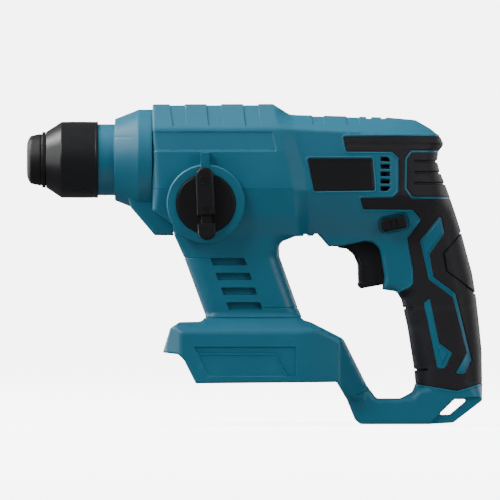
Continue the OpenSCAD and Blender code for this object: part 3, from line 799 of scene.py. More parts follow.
@dataclass(frozen=True)
class SoftRubber:
    """Matt overmoulded rubber with a fine leathery skin and a little dust in it."""

    name: str
    colour: Tuple[float, float, float]
    roughness: float = 0.6
    grain: float = 1900.0

    def material(self) -> bpy.types.Material:
        """Builds the material."""
        shader = Shader(self.name)
        cloud = shader.noise(55, 5)
        cells = shader.node("ShaderNodeTexVoronoi", {"feature": "F1"},
                            {"Vector": shader.position, "Scale": self.grain})
        dust = shader.node("ShaderNodeValToRGB", {"ramp": ((0.5, 0.0), (0.8, 1.0))},
                           {0: shader.noise(420, 6, 0.65)})
        dark = [c * 0.8 for c in self.colour]
        dusty = [c * 1.8 + 0.003 for c in self.colour]
        base = shader.mix(cloud, rgba(*dark), rgba(*self.colour))
        shader.set(base_color=shader.mix(dust * 0.35, base, rgba(*dusty)),
                   roughness=self.roughness + 0.14 * (cloud - 0.5),
                   normal=shader.bump(cells, 0.00004, 0.9))
        shader.surface.inputs["Specular IOR Level"].default_value = 0.42
        return shader.material


@dataclass(frozen=True)
class WorkedMetal:
    """Metal with tool marks, from ground and bright to cast and dull."""

    name: str
    colour: Tuple[float, float, float]
    roughness: float
    marks: float = 900.0
    stretch: Tuple[float, float, float] = (1.0, 1.0, 1.0)
    depth: float = 0.00001

    def material(self) -> bpy.types.Material:
        """Builds the material."""
        shader = Shader(self.name)
        along = shader.node("ShaderNodeVectorMath", {"operation": "MULTIPLY"},
                            {0: shader.position, 1: self.stretch})
        marks = shader.noise(self.marks, 3, 0.6, along)
        stain = shader.noise(70, 4)
        dark = [c * 0.72 for c in self.colour]
        shader.set(base_color=shader.mix(stain * 0.6 + marks * 0.3, rgba(*self.colour), rgba(*dark)),
                   roughness=self.roughness + 0.16 * (marks - 0.5) + 0.12 * (stain - 0.5),
                   metallic=1.0, normal=shader.bump(marks, self.depth))
        return shader.material


FINISHES = (
    MouldedPlastic("teal_plastic", (0.018, 0.138, 0.218), 0.44, specular=0.4),
    MouldedPlastic("black_plastic", (0.0085, 0.0085, 0.0100), 0.42, specular=0.35, rub=0.1),
    MouldedPlastic("printed_board", (0.018, 0.030, 0.022), 0.5, rub=0.1),
    MouldedPlastic("wire_red", (0.30, 0.016, 0.014), 0.4, 700.0),
    MouldedPlastic("sleeve_plastic", (0.0080, 0.0080, 0.0095), 0.36, specular=0.5, rub=0.08),
    SoftRubber("grip_rubber", (0.0120, 0.0115, 0.0145)),
    SoftRubber("cap_rubber", (0.006, 0.006, 0.0065), 0.5, 1300.0),
    WorkedMetal("machined_steel", (0.46, 0.47, 0.49), 0.36, 700.0, (1.0, 6.0, 6.0)),
    WorkedMetal("ground_steel", (0.62, 0.63, 0.65), 0.22, 1200.0, (8.0, 1.0, 1.0)),
    WorkedMetal("cast_aluminium", (0.60, 0.61, 0.62), 0.5, 600.0, (1.0, 1.0, 1.0), 0.00004),
    WorkedMetal("drawn_brass", (0.70, 0.48, 0.20), 0.3, 900.0, (1.0, 8.0, 1.0)),
    WorkedMetal("copper_wire", (0.62, 0.27, 0.13), 0.3, 1600.0, (6.0, 1.0, 1.0), 0.0001),
    WorkedMetal("magnet_ferrite", (0.10, 0.10, 0.11), 0.6, 800.0),
    WorkedMetal("blackened_steel", (0.12, 0.12, 0.13), 0.42, 800.0),
)


class Palette:
    """All the finishes, by name."""

    def __init__(self) -> None:
        """Builds every material once."""
        self.materials = {finish.name: finish.material() for finish in FINISHES}

    def dress(self, piece: bpy.types.Object, finish: str) -> bpy.types.Object:
        """Gives a piece its finish."""
        piece.data.materials.clear()
        piece.data.materials.append(self.materials[finish])
        return piece

    def dress_node(self, node: str, finish: str) -> None:
        """Gives a carried-over working part its finish."""
        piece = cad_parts[node]
        if not piece.material_slots:
            piece.data.materials.append(self.materials[finish])
        for slot in piece.material_slots:
            slot.material = self.materials[finish]


# ---------------------------------------------------------------- the housing's shape


@dataclass(frozen=True)
class HousingShape:
    """Outer shape of the whole housing, as a height from the middle plane over the side view."""

    front_section: Tuple[Tuple[float, float], ...] = (
        (-105, 25), (-60.9, 25), (-47.5, 27), (-35.2, 31), (-18.5, 33), (4.8, 31.5), (19, 29),
        (34.5, 14))
    motor_section: Tuple[Tuple[float, float], ...] = (
        (-56, 16.5), (-47, 18.5), (-36, 24), (-19, 30.5), (4.8, 29), (19, 27.5), (28.6, 12))
    shoe_section: Tuple[Tuple[float, float], ...] = (
        (-164, 14.5), (-162, 16.5), (-155, 16.5), (-150, 17.5), (-141, 38), (-107, 38),
        (-100.8, 31), (-95, 24), (-85, 0))
    front_plan: Tuple[Tuple[float, float], ...] = ((72, 27.5), (78, 33.4), (90, 34))
    shoe_plan: Tuple[Tuple[float, float], ...] = (
        (78, 22), (84, 31), (92, 38), (166, 38), (190, 33.5), (206, 17.1), (212, 16.4))
    band_start: Tuple[Tuple[float, float], ...] = (
        (34.5, 148.5), (18.4, 152.4), (4.7, 155.2), (-18.2, 160.7), (-47, 165))
    band_end: Tuple[Tuple[float, float], ...] = (
        (27.7, 160.4), (19, 161.5), (4.7, 165), (-9, 169.4), (-47, 170.5))
    grip_half_w: float = 16.5

    def height(self, flat: Points) -> Points:
        """Distance of the outside from the middle plane, before its edges are rounded."""
        x, z = flat[:, 0], flat[:, 1]
        front = soft_min(smooth_interp(z, self.front_section),
                         smooth_interp(x, self.front_plan, 0.5), 1.5)
        crease_fall = 4.6 * np.clip((x - 161) / 91, 0, 1)
        motor = smooth_interp(z + crease_fall, self.motor_section)
        back = np.clip((x - 196) / 70, 0, 0.985)
        motor = motor * np.sqrt(1 - back ** 2.4)
        lower = np.clip((-8 - z) / 24, 0, 1)
        motor = soft_max(motor, self.grip_half_w * lower * lower * (3 - 2 * lower), 4.0)
        start, end = smooth_interp(z, self.band_start), smooth_interp(z, self.band_end)
        share = np.clip((x - start) / (end - start), 0, 1)
        upper = front + (motor - front) * share
        shoe = soft_min(smooth_interp(z, self.shoe_section), smooth_interp(x, self.shoe_plan), 2.0)
        return soft_max(upper, shoe, 1.6)


# Corners of the housing's side outline: x, z, corner radius, edge radius
HOUSING_OUTLINE: Tuple[Corner, ...] = (
    (74, 34.3, 1.2, 1.6), (148.5, 34.5, 1.5, 1.6), (158.8, 28.1, 2, 1.6), (162.5, 27.7, 2, 1.6),
    (179.6, 27.3, 0, 1.6), (201.1, 26.7, 0, 2.2), (218.9, 26.2, 0, 2.2), (236.7, 24.7, 6, 2.5),
    (246, 19.4, 4, 4), (252.1, 14.4, 0.6, 5), (254.5, 9.4, 1.2, 8), (251.3, 5.0, 2, 9),
    (250.3, -0.9, 5, 9), (252.1, -7.5, 5, 9), (255.1, -14.6, 5, 10), (258.1, -22.3, 4, 12),
    (264.6, -41.9, 6, 14), (268.7, -57.3, 20, 15), (272.3, -70.4, 20, 16), (274.7, -85.2, 20, 16),
    (276.4, -100, 20, 16), (278.2, -117.8, 20, 16), (278.5, -138, 3, 14), (278.2, -149.2, 1.5, 4),
    (260.2, -163.0, 2, 2.5), (244.5, -163.9, 4, 2), (202.6, -163.9, 3.5, 2),
    (199.4, -161.1, 4, 2), (194.6, -149.2, 4, 2), (187.8, -137.6, 0.8, 1.4),
    (100.9, -138.4, 1, 1.4), (93.7, -124.1, 1, 1.4), (90.2, -120.5, 3.5, 1.4),
    (80.4, -119.4, 0.6, 1.4), (85, -104.4, 1.2, 1.6), (90.4, -100.9, 2, 1.8),
    (104.2, -100.6, 4, 3), (106.9, -96.8, 1, 8), (93.7, -60.9, 0.8, 9),
    (87.6, -47.2, 1.5, 5), (86.5, -40.2, 1, 1.8), (74.2, -31.2, 1, 1.6),
)
# The opening of the D handle
HAND_OPENING: Tuple[Corner, ...] = (
    (162.8, -47.5, 6, 2.2), (177.4, -47.2, 2, 2), (183.2, -53.8, 1.5, 1.8), (189.4, -53.8, 2, 1.4),
    (206.1, -50.5, 2, 1.4), (210.6, -51.5, 3, 2.2), (214.4, -55.2, 3, 3), (215.6, -59.8, 6, 3.5),
    (217.7, -73.1, 6, 3.5), (216.5, -80.5, 0.8, 3), (225.2, -81.8, 2, 6), (228.4, -86.9, 5, 12),
    (232, -103.5, 20, 15), (236.1, -129.1, 20, 15), (237.1, -138.9, 4, 13),
    (235.2, -144.2, 5, 6), (227.9, -148.2, 6, 3), (213.1, -148.2, 3, 3.4), (206.8, -139.8, 4, 3.6),
    (192.3, -111.1, 4, 4), (172.8, -101.1, 3, 4), (167.3, -99.4, 3, 5), (163.6, -90.5, 3, 9),
    (152.7, -60, 4, 9), (152.3, -51.6, 5, 7),
)
LANYARD_HOLE: Tuple[Corner, ...] = (
    (261.1, -148.4, 1, 1.1), (270.3, -148.4, 1.2, 1.1), (258.4, -158.4, 1.2, 1.1),
    (250.8, -158.4, 1, 1.1))
RUBBER_EDGE: Tuple[Corner, ...] = (
    (192, 14.1, 0.8), (193.9, 4.8, 0.8), (222.1, 4.7, 0.8), (226.2, 0.9, 0.8), (226.2, -20.1, 0.8),
    (222.8, -23.5, 0.8), (202.6, -23.8, 0.8), (204.3, -31, 0.8), (235.1, -31.2, 1),
    (240.3, -37.4, 1), (231.7, -49, 1.5), (235.5, -69.1, 2), (235.5, -76.9, 2), (233.2, -79.2, 2),
    (224.6, -83.4), (205, -90), (220, -139.1), (237.1, -139.1, 2), (262.8, -143.3, 1),
    (279.5, -138.2), (300, -130), (300, 14.6), (252.1, 14.6))
PAD_EDGE: Tuple[Corner, ...] = (
    (234.3, 4.4, 1), (231.4, 0.2, 1), (231.1, -17.9, 1), (234.9, -23.1, 1), (290, -23.5), (290, 4.3))
LONG_INLAY: Tuple[Corner, ...] = (
    (251.8, -35.3, 0.6), (253.1, -36, 0.6), (254.9, -45.4, 1), (245.4, -58.5, 1), (248, -72.7, 1),
    (261.6, -82.8, 1), (272, -124.3, 1), (267.2, -132.6, 0.8), (261.4, -132.6, 0.8),
    (268.7, -119.5, 1), (259.9, -85.2, 1), (245, -74.2, 1), (239.7, -50.2, 1))
SHORT_INLAY: Tuple[Corner, ...] = (
    (241.8, -88.7, 0.6), (245.6, -85.7, 0.6), (251.6, -113.6, 1), (259.6, -119.5, 0.8),
    (254.9, -129.3, 0.8), (250.3, -129.3, 0.8))
PLATE_EDGE: Tuple[Corner, ...] = (
    (169.8, 0.7, 1.3), (210.1, 0.7, 1.3), (211.8, -19.3, 1.3), (173.8, -19.7, 1.3))
PATCH_GROOVE: Tuple[Corner, ...] = (
    (268, -42.5), (254.3, -57.9, 0.8), (256.3, -69.1, 0.8), (278, -85.5))
CHAMFER_PANELS: Tuple[Tuple[float, float, float, float, float], ...] = (
    (84.1, 94.0, 86.5, 95.6, 20.6), (107.0, 116.5, 108.6, 118.1, 20.6),
    (129.5, 139.5, 131.5, 141.2, 20.6), (172.2, 180.1, 172.9, 180.6, 21.8),
    (193.5, 201.9, 194.0, 202.4, 21.8))
TOP_SLOTS: Tuple[float, ...] = (206.2, 215.3)
BOTTOM_SLOTS: Tuple[float, ...] = (167.3, 173.7)
RUBBER_T = 1.8
PLATE_T = 0.8
PAD_FRAME = 1.2
SHAPE = HousingShape()


def level(value: float) -> Field:
    """A flat field."""
    return lambda flat: np.full(len(flat), value)


def turned(corners: Sequence[Corner], at: Tuple[float, float], degrees: float) -> List[Corner]:
    """Corners turned about the origin, then moved to a place."""
    c, s = math.cos(math.radians(degrees)), math.sin(math.radians(degrees))
    return [(at[0] + p[0] * c - p[1] * s, at[1] + p[0] * s + p[1] * c, *p[2:]) for p in corners]


@dataclass
class HousingHalf:
    """One moulded half of the housing, with everything cut into or raised on its outside."""

    side: Side
    wall: float = 2.6
    knob_axis: Tuple[float, float] = (107.1, -27.4)
    boss_r: float = 24.3
    boss_y: float = 38.0
    knob_well_r: float = 18.55
    knob_floor_y: float = 34.4
    stem_hole_r: float = 6.05
    button_at: Tuple[float, float] = (223.4, -39.6)
    button_tilt: float = 12.0
    screws: Tuple[Tuple[float, float], ...] = (
        (118, 27.5), (163, 21), (240, 12), (98, -56), (139, -53), (112, -107.5), (160, -107.5),
        (197, -138), (236, -156), (256, -122), (250, -36))
    screw_well_r: float = 3.9
    screw_seat_y: float = 9.0
    trigger_half_w: float = 9.9
    bay_half_w: float = 31.0
    rail_half_w: float = 27.5
    spigot_r: float = 28.6
    lobe_half_w: float = 17.15
    lug_half_w: float = 14.9
    slot_pitch: Tuple[float, float] = (3.3, -9.13)

    def side_vents(self) -> List[Points]:
        """The five air slots beside the brushes, the outer two with a cut corner."""
        loops = []
        for i in range(5):
            low = -19.5 + 4.55 * i
            corners: List[Corner] = [(215.2, low, 0.3), (220.8, low, 0.3), (220.8, low + 2.8, 0.3),
                                     (215.2, low + 2.8, 0.3)]
            if i == 4:
                corners[2:3] = [(220.8, low + 1.0, 0.2), (219.2, low + 2.8, 0.2)]
            if i == 0:
                corners[1:2] = [(219.2, low, 0.2), (220.8, low + 1.6, 0.2)]
            loops.append(run_of(corners, spacing=0.9))
        return loops

    def button_hole(self, margin: float) -> Points:
        """The tilted slot round the direction button, larger by margin."""
        w, h, r = 8 + margin, 4 + margin, 2.0 + margin
        corners = ((-w, -h, r), (w, -h, r), (w, h, r), (-w, h, r))
        return run_of(turned(corners, self.button_at, self.button_tilt), spacing=0.9)

    def panels(self) -> List[Feature]:
        """Shallow recesses across the top and its chamfers, and the air slots' mouths."""
        made: List[Feature] = []
        for left, right, low_left, low_right, low in CHAMFER_PANELS:
            depth = 0.75 if low < 21 else 0.6
            made.append(Step(run_of(((left, 37), (right, 37), (low_right, low, 1.8),
                                     (low_left, low, 0.4))), -depth, 0.45))
        for x in TOP_SLOTS:
            made.append(Step(run_of(((x, 30), (x + 3.6, 30), (x + 3.6, 25.4, 0.8),
                                     (x, 25.4, 0.8)), spacing=0.8), -1.2, 0.6))
        for x in BOTTOM_SLOTS:
            made.append(Step(run_of(((x, -50), (x + 3.3, -50), (x + 3.3, -45.8, 0.8),
                                     (x, -45.8, 0.8)), spacing=0.8), -1.2, 0.6))
        return made

    def leg_details(self) -> List[Feature]:
        """Slots, seams and grooves of the leg, the shoe and the arm."""
        made: List[Feature] = []
        for i in range(4):
            dx, dz = self.slot_pitch[0] * i, self.slot_pitch[1] * i
            made.append(Step(run_of(((109.8 + dx, -60.9 + dz, 0.4), (130.9 + dx, -60.9 + dz, 0.4),
                                     (132.5 + dx, -65.5 + dz, 0.4),
                                     (111.4 + dx, -65.5 + dz, 0.4))), -3.2, 0.3))
        seams = (((88, -60.9), (108.6, -60.9)), ((143.4, -91.8), (166, -91.8)),
                 ((100, -97.8), (172, -97.8)), ((193, -148.8), (208.5, -142.5)))
        for seam, depth in zip(seams, (0.35, 0.35, 0.8, 0.45)):
            made.append(Groove(run_of(seam, False), 1.1, -depth))
        made.append(Step(run_of(((99.8, -115.6, 0.5), (163, -115.6, 0.5), (163, -134.3, 0.5),
                                 (157.4, -134.3, 0.3), (150.2, -120.2, 0.5), (102.1, -120.2, 0.4))),
                         -1.1, 0.5))
        made.append(Step(run_of(((102.6, -120.7, 0.4), (149.9, -120.7, 0.5), (156.8, -134.1, 0.4),
                                 (108.5, -134.1, 0.4))), -0.55, 0.5))
        return made

    def body_details(self) -> List[Feature]:
        """The plate's seat and the lips round it, the rubber, the button and the vents."""
        plate, rubber = run_of(PLATE_EDGE), run_of(RUBBER_EDGE)
        made: List[Feature] = [
            Step(plate, -PLATE_T, 0.08),
            Groove(inset(plate, -0.75), 1.1, 0.32, True),
            Groove(inset(rubber, -0.7), 1.0, 0.28, True),
            Step(self.button_hole(1.6), -0.7, 0.7),
            Step(run_of(((60, 4.8), (151.2, 4.8, 1), (148.2, 17.2, 1), (60, 17.2))), -0.35, 0.5),
            Groove(run_of(((60, -18.5), (160.5, -18.5)), False), 0.8, -0.25),
        ]
        made += [Step(inset(hole, -0.5), -0.35, 0.4) for hole in self.side_vents()]
        return made

    def rubber_seat(self) -> List[Feature]:
        """The sunk area under the rubber, with the inlays and the pad's frame left standing."""
        long_inlay, short_inlay = run_of(LONG_INLAY), run_of(SHORT_INLAY)
        pad = run_of(PAD_EDGE)
        return [Step(run_of(RUBBER_EDGE), -RUBBER_T, 0.08),
                Step(long_inlay, RUBBER_T - 0.55, 0.08), Step(short_inlay, RUBBER_T - 0.55, 0.08),
                Step(inset(long_inlay, 1.15), 0.4, 0.35),
                Step(run_of(((250.9, -114.9, 0.3), (257.0, -119.6, 0.3), (253.0, -127.6, 0.3))),
                     0.5, 0.4),
                Step(inset(pad, -PAD_FRAME), RUBBER_T - 0.1, 0.08),
                Step(pad, 0.1 - RUBBER_T, 0.08)]

    def side_only(self) -> List[Level]:
        """What only one side has: the knob's boss on the left, the screw wells on the right."""
        lug = Level(run_of(((245.2, -163.8), (260.9, -148.1, 1), (275, -146.6), (290, -150),
                            (290, -180), (229, -180))), self.lug_half_w, 0.4)
        if self.side is Side.RIGHT:
            vents = self.side_vents()
            return [lug, *(Step(loop, -1.7, 0.25) for loop in (vents[0], vents[-1])),
                    *(Level(circle(x, z, self.screw_well_r, 28), self.screw_seat_y)
                      for x, z in self.screws)]
        tab = run_of(((103.9, -9.4, 0.4), (109.7, -9.4, 0.4), (109.7, 4.2, 0.4),
                      (103.9, 4.2, 0.4)), spacing=0.8)
        return [lug, Level(circle(*self.knob_axis, self.boss_r, 110), self.boss_y - 0.7),
                Level(circle(*self.knob_axis, self.boss_r - 0.1, 110), self.boss_y, 0.8),
                Level(tab, self.boss_y + 0.3, 0.35),
                Level(circle(*self.knob_axis, self.knob_well_r, 90), self.knob_floor_y)]

    def inner(self, flat: Points) -> Points:
        """Distance of the inside from the middle plane: hollow, slots, bay and spigot seat."""
        x, z = flat[:, 0], flat[:, 1]
        edge = np.minimum(nearest(flat, run_of(HOUSING_OUTLINE))[0],
                          nearest(flat, run_of(HAND_OPENING))[0])
        wall = self.wall + 1.9 * np.clip((x - 150) / 15, 0, 1)
        inside = (SHAPE.height(flat) - wall) * np.clip((edge - wall) / 1.5, 0, 1)
        inside[((z < -113) & (x < 192)) | ((x > 243) & (z < -128))] = 0
        if self.side is Side.RIGHT:
            for sx, sz in self.screws:
                inside[np.hypot(x - sx, z - sz) < self.screw_well_r + 2.2] = 0
        nose = (x < 91.2) & (np.abs(z) < self.spigot_r)
        inside[nose] = np.maximum(inside[nose], np.sqrt(self.spigot_r ** 2 - z[nose] ** 2))
        for loop, width in self.pockets():
            held = contains(loop, flat)
            inside[held] = np.maximum(inside[held], width)
        rail = (x > 104) & (x < 183) & (z < -128) & (z > -131.5)
        inside[rail] = self.rail_half_w
        return inside

    def pockets(self) -> List[Tuple[Points, float]]:
        """Spaces with flat sides inside the half, and each one's half width."""
        made = [(run_of(((70, -44.9), (91.2, -44.9), (91.2, -20), (70, -20))), self.lobe_half_w),
                (run_of(((186.5, -56), (186.5, -51.2), (206, -47), (236, -46), (236, -75.2),
                         (212, -79.4), (205, -84), (190, -84))), self.trigger_half_w),
                (run_of(((70, -145), (183, -145), (183, -118), (70, -118))), self.bay_half_w)]
        for x in TOP_SLOTS:
            made.append((run_of(((x + 0.3, 20), (x + 3.3, 20), (x + 3.3, 32), (x + 0.3, 32))), 8.0))
        for x in BOTTOM_SLOTS:
            made.append((run_of(((x + 0.3, -55), (x + 3, -55), (x + 3, -40), (x + 0.3, -40))), 11.0))
        return made

    def build(self, palette: "Palette") -> bpy.types.Object:
        """Builds and dresses the half.

        Args:
            palette: the finishes.

        Returns:
            The finished piece.
        """
        left = self.side is Side.LEFT
        holes = [self.button_hole(0.12), *(self.side_vents() if left else self.side_vents()[1:-1])]
        if left:
            holes.append(circle(*self.knob_axis, self.stem_hole_r, 40))
        rail = run_of(((104, -131.5), (183, -131.5), (183, -128), (104, -128)))
        guides = [loop for loop, _ in self.pockets()] + [rail]
        features = (self.panels() + self.leg_details() + self.body_details()
                    + self.rubber_seat() + self.side_only())
        slab = Slab(run_of(HOUSING_OUTLINE), SHAPE.height, self.inner,
                    openings=[run_of(HAND_OPENING), run_of(LANYARD_HOLE)], holes=holes,
                    features=features, guides=guides)
        piece = slab.build("left_housing_half" if left else "right_housing_half",
                           on_side(self.side))
        palette.dress(piece, "teal_plastic")
        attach(piece, "housing")
        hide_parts("left_housing" if left else "right_housing")
        return piece


# ---------------------------------------------------------------- rubber, pad and plates


@dataclass
class GripRubber:
    """Overmoulded rubber on one side of the motor's rear and the grip."""

    side: Side
    gap: float = 0.12
    edge_drop: float = 0.35
    edge_w: float = 0.45

    def grooves(self) -> List[Feature]:
        """The patch's groove, the finger slits and the soft crease on top."""
        slits = (((222, -92.6), (231.5, -92.2), (234.5, -92.0)),
                 ((230, -130.6), (240.5, -130.3), (243.5, -130.1)))
        return [Groove(run_of(PATCH_GROOVE, False), 1.3, -1.0),
                *[Groove(run_of(slit, False), 1.5, -1.5) for slit in slits],
                Groove(run_of(((194, 9.3), (258, 9.3)), False), 1.6, -0.18)]

    def build(self, palette: "Palette") -> bpy.types.Object:
        """Builds and dresses the rubber of this side."""
        left = self.side is Side.LEFT
        edge = inset(run_of(RUBBER_EDGE), self.gap)
        holes = [inset(run_of(LONG_INLAY), -self.gap), inset(run_of(SHORT_INLAY), -self.gap),
                 inset(run_of(PAD_EDGE), -PAD_FRAME - self.gap)]
        features = [Step(edge, self.edge_drop, self.edge_w), *self.grooves()]
        features += [Step(inset(hole, -self.edge_w), -self.edge_drop, self.edge_w)
                     for hole in holes]
        if not left:
            half = HousingHalf(self.side)
            holes += [circle(x, z, half.screw_well_r, 28) for x, z in half.screws]
        slab = Slab(run_of(HOUSING_OUTLINE), SHAPE.height, skin=RUBBER_T - 0.02,
                    openings=[run_of(HAND_OPENING)], holes=holes, features=features,
                    region=edge, sink=self.edge_drop)
        piece = slab.build("left_grip_skin" if left else "right_grip_skin", on_side(self.side))
        palette.dress(piece, "grip_rubber")
        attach(piece, "housing")
        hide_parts("left_grip_rubber" if left else "right_grip_rubber")
        return piece


@dataclass
class RearPad:
    """Ribbed rubber pad that wraps round the back of the motor housing."""

    groove_heights: Tuple[float, ...] = (-1.1, -8.0, -14.7)
    groove_start_x: float = 236.7
    groove_w: float = 1.8
    groove_depth: float = 0.95

    def build(self, palette: "Palette") -> bpy.types.Object:
        """Builds and dresses the pad."""
        edge = inset(run_of(PAD_EDGE), 0.12)
        grooves = [Groove(run_of(((self.groove_start_x, z), (300, z)), False), self.groove_w,
                          -self.groove_depth) for z in self.groove_heights]
        slab = Slab(run_of(HOUSING_OUTLINE), SHAPE.height, skin=RUBBER_T - 0.02,
                    features=[Step(edge, 0.3, 0.5), *grooves], region=edge, sink=0.3,
                    spacing=0.9)
        piece = slab.build("rear_pad_skin", on_side(Side.LEFT), across=True)
        palette.dress(piece, "grip_rubber")
        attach(piece, "housing")
        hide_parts("rear_pad")
        return piece


@dataclass
class SidePlates:
    """Blank plates let into both sides of the motor housing."""

    border: float = 1.1
    border_drop: float = 0.12

    def build(self, palette: "Palette") -> List[bpy.types.Object]:
        """Builds and dresses the two plates."""
        edge = inset(run_of(PLATE_EDGE), 0.1)
        slab = Slab(run_of(HOUSING_OUTLINE), SHAPE.height, skin=PLATE_T - 0.02,
                    features=[Step(edge, 0.2, 0.3),
                              Step(inset(edge, self.border), -self.border_drop, 0.15)],
                    region=edge, sink=0.3, spacing=0.9)
        pieces = []
        for side in Side:
            piece = slab.build(f"{side.name.lower()}_side_plate", on_side(side))
            palette.dress(piece, "black_plastic")
            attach(piece, "housing")
            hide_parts("side_plates")
            pieces.append(piece)
        return pieces


# ---------------------------------------------------------------- nose and chuck


@dataclass
class NoseHousing:
    """Coned front of the gear housing, with the collar for a side handle and the lower lobe."""

    lobe_half_w: float = 17.0
    notch_z: float = 13.8
    notch_half_w: float = 0.75
    notch_depth: float = 0.35

    def notch(self, points: Points) -> Points:
        """A short groove along each side of the cone."""
        x, _, z = points.T
        share = np.clip(1.4 * (1 - np.abs(z - self.notch_z) / self.notch_half_w), 0, 1)
        along = np.clip((x - 50.2) / 0.4, 0, 1) * np.clip((63.5 - x) / 6, 0, 1)
        return -self.notch_depth * share * along * (np.hypot(points[:, 1], z) > 25)

    def build(self, palette: "Palette") -> bpy.types.Object:
        """Builds and dresses the nose."""
        body = lathe("nose_body", ((40.1, 0), (40.1, 22.1, 0.5), (50.6, 22.1, 0.5),
                                   (50.6, 25.3, 0.5), (65.4, 31.2, 0.8), (73.9, 31.2, 0.4),
                                   (73.9, 28.5), (84, 28.5, 0.6), (84, 0)),
                     count=256, relief=self.notch)
        lobe = Slab(run_of(((58, -20, 0, 0.5), (60.4, -29.5, 1.2, 3.5), (75.3, -46.9, 1.5, 3.5),
                            (87, -47, 0.5, 2.5), (86.6, -44.8, 0, 1), (90, -44.8, 0, 0.5),
                            (90, -20.1, 0, 0.5))), level(self.lobe_half_w))
        bore = lathe("bore", ((39, 0), (39, 15.3), (45, 15.3), (45, 19.02), (51, 19.02),
                              (51, 18), (53, 18), (53, 21.02), (60, 21.02), (62, 25.4), (95, 25.4),
                              (95, 0)))
        seat = lathe("seat", ((80, 0), (80, 8.02), (99, 8.02), (99, 0)), z=-27, count=64)
        piece = combined("nose_shell", body, [lobe.build("lobe", on_side(Side.LEFT))],
                         [bore, seat])
        palette.dress(piece, "teal_plastic")
        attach(piece, "housing")
        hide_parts("nose_housing")
        return piece


@dataclass
class Chuck:
    """Rubber dust cap and the sliding locking sleeve."""

    sleeve_r: float = 23.7
    mark_half_w: float = 0.5
    mark_depth: float = 0.45

    def marks(self, points: Points) -> Points:
        """The engraved unlocking arrow's strokes, low on the left side of the sleeve."""
        x, y, z = points.T
        shift = np.zeros(len(points))
        flat = np.stack([x, z], 1)
        for start, end in (((24.6, -19.2), (29.4, -19.1)), ((30.2, -17.1), (36.6, -20.3))):
            distance = nearest(flat, np.array([(*start, 0), (*end, 0)]), False)[0]
            shift = np.maximum(shift, np.clip(1.8 * (1 - distance / self.mark_half_w), 0, 1))
        return -self.mark_depth * shift * (y < 0) * (np.hypot(y, z) > self.sleeve_r - 0.5)

    def build_sleeve(self, palette: "Palette") -> bpy.types.Object:
        """Builds and dresses the locking sleeve."""
        r = self.sleeve_r
        piece = lathe("sleeve_shell",
                      ((7.9, 14.2), (7.9, 17.3, 0.5), (17.3, r - 0.25, 0.35), (17.9, r - 0.1, 0.2),
                       (30, r), (38.6, r - 0.12, 0.3), (39.1, r, 0.2), (40.1, r, 0.35),
                       (40.1, 22.5, 0.2), (32.3, 22.5), (32.3, 20.4), (26, 20.4), (26, 16.05),
                       (12, 16.05), (12, 14.2)), count=420, spacing=0.42, relief=self.marks)
        palette.dress(piece, "sleeve_plastic")
        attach(piece, "sleeve")
        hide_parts("locking_sleeve")
        return piece

    def build_cap(self, palette: "Palette") -> bpy.types.Object:
        """Builds and dresses the dust cap."""
        piece = lathe("dust_cap_rubber",
                      ((-4, 5.6, 0.5), (-4, 10, 1.5), (-3.2, 12.6, 1.5), (-1.7, 14.9, 1.2),
                       (4.3, 16.15, 0.3), (4.6, 15.9, 0.2), (5.3, 15.9, 0.2), (5.5, 17.3, 0.5),
                       (7.6, 17.3, 0.3), (7.6, 9.6), (0, 9.6), (0, 5.6, 0.4)),
                      count=160, spacing=0.6)
        palette.dress(piece, "cap_rubber")
        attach(piece, "spindle")
        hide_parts("dust_cap")
        return piece


# ---------------------------------------------------------------- controls


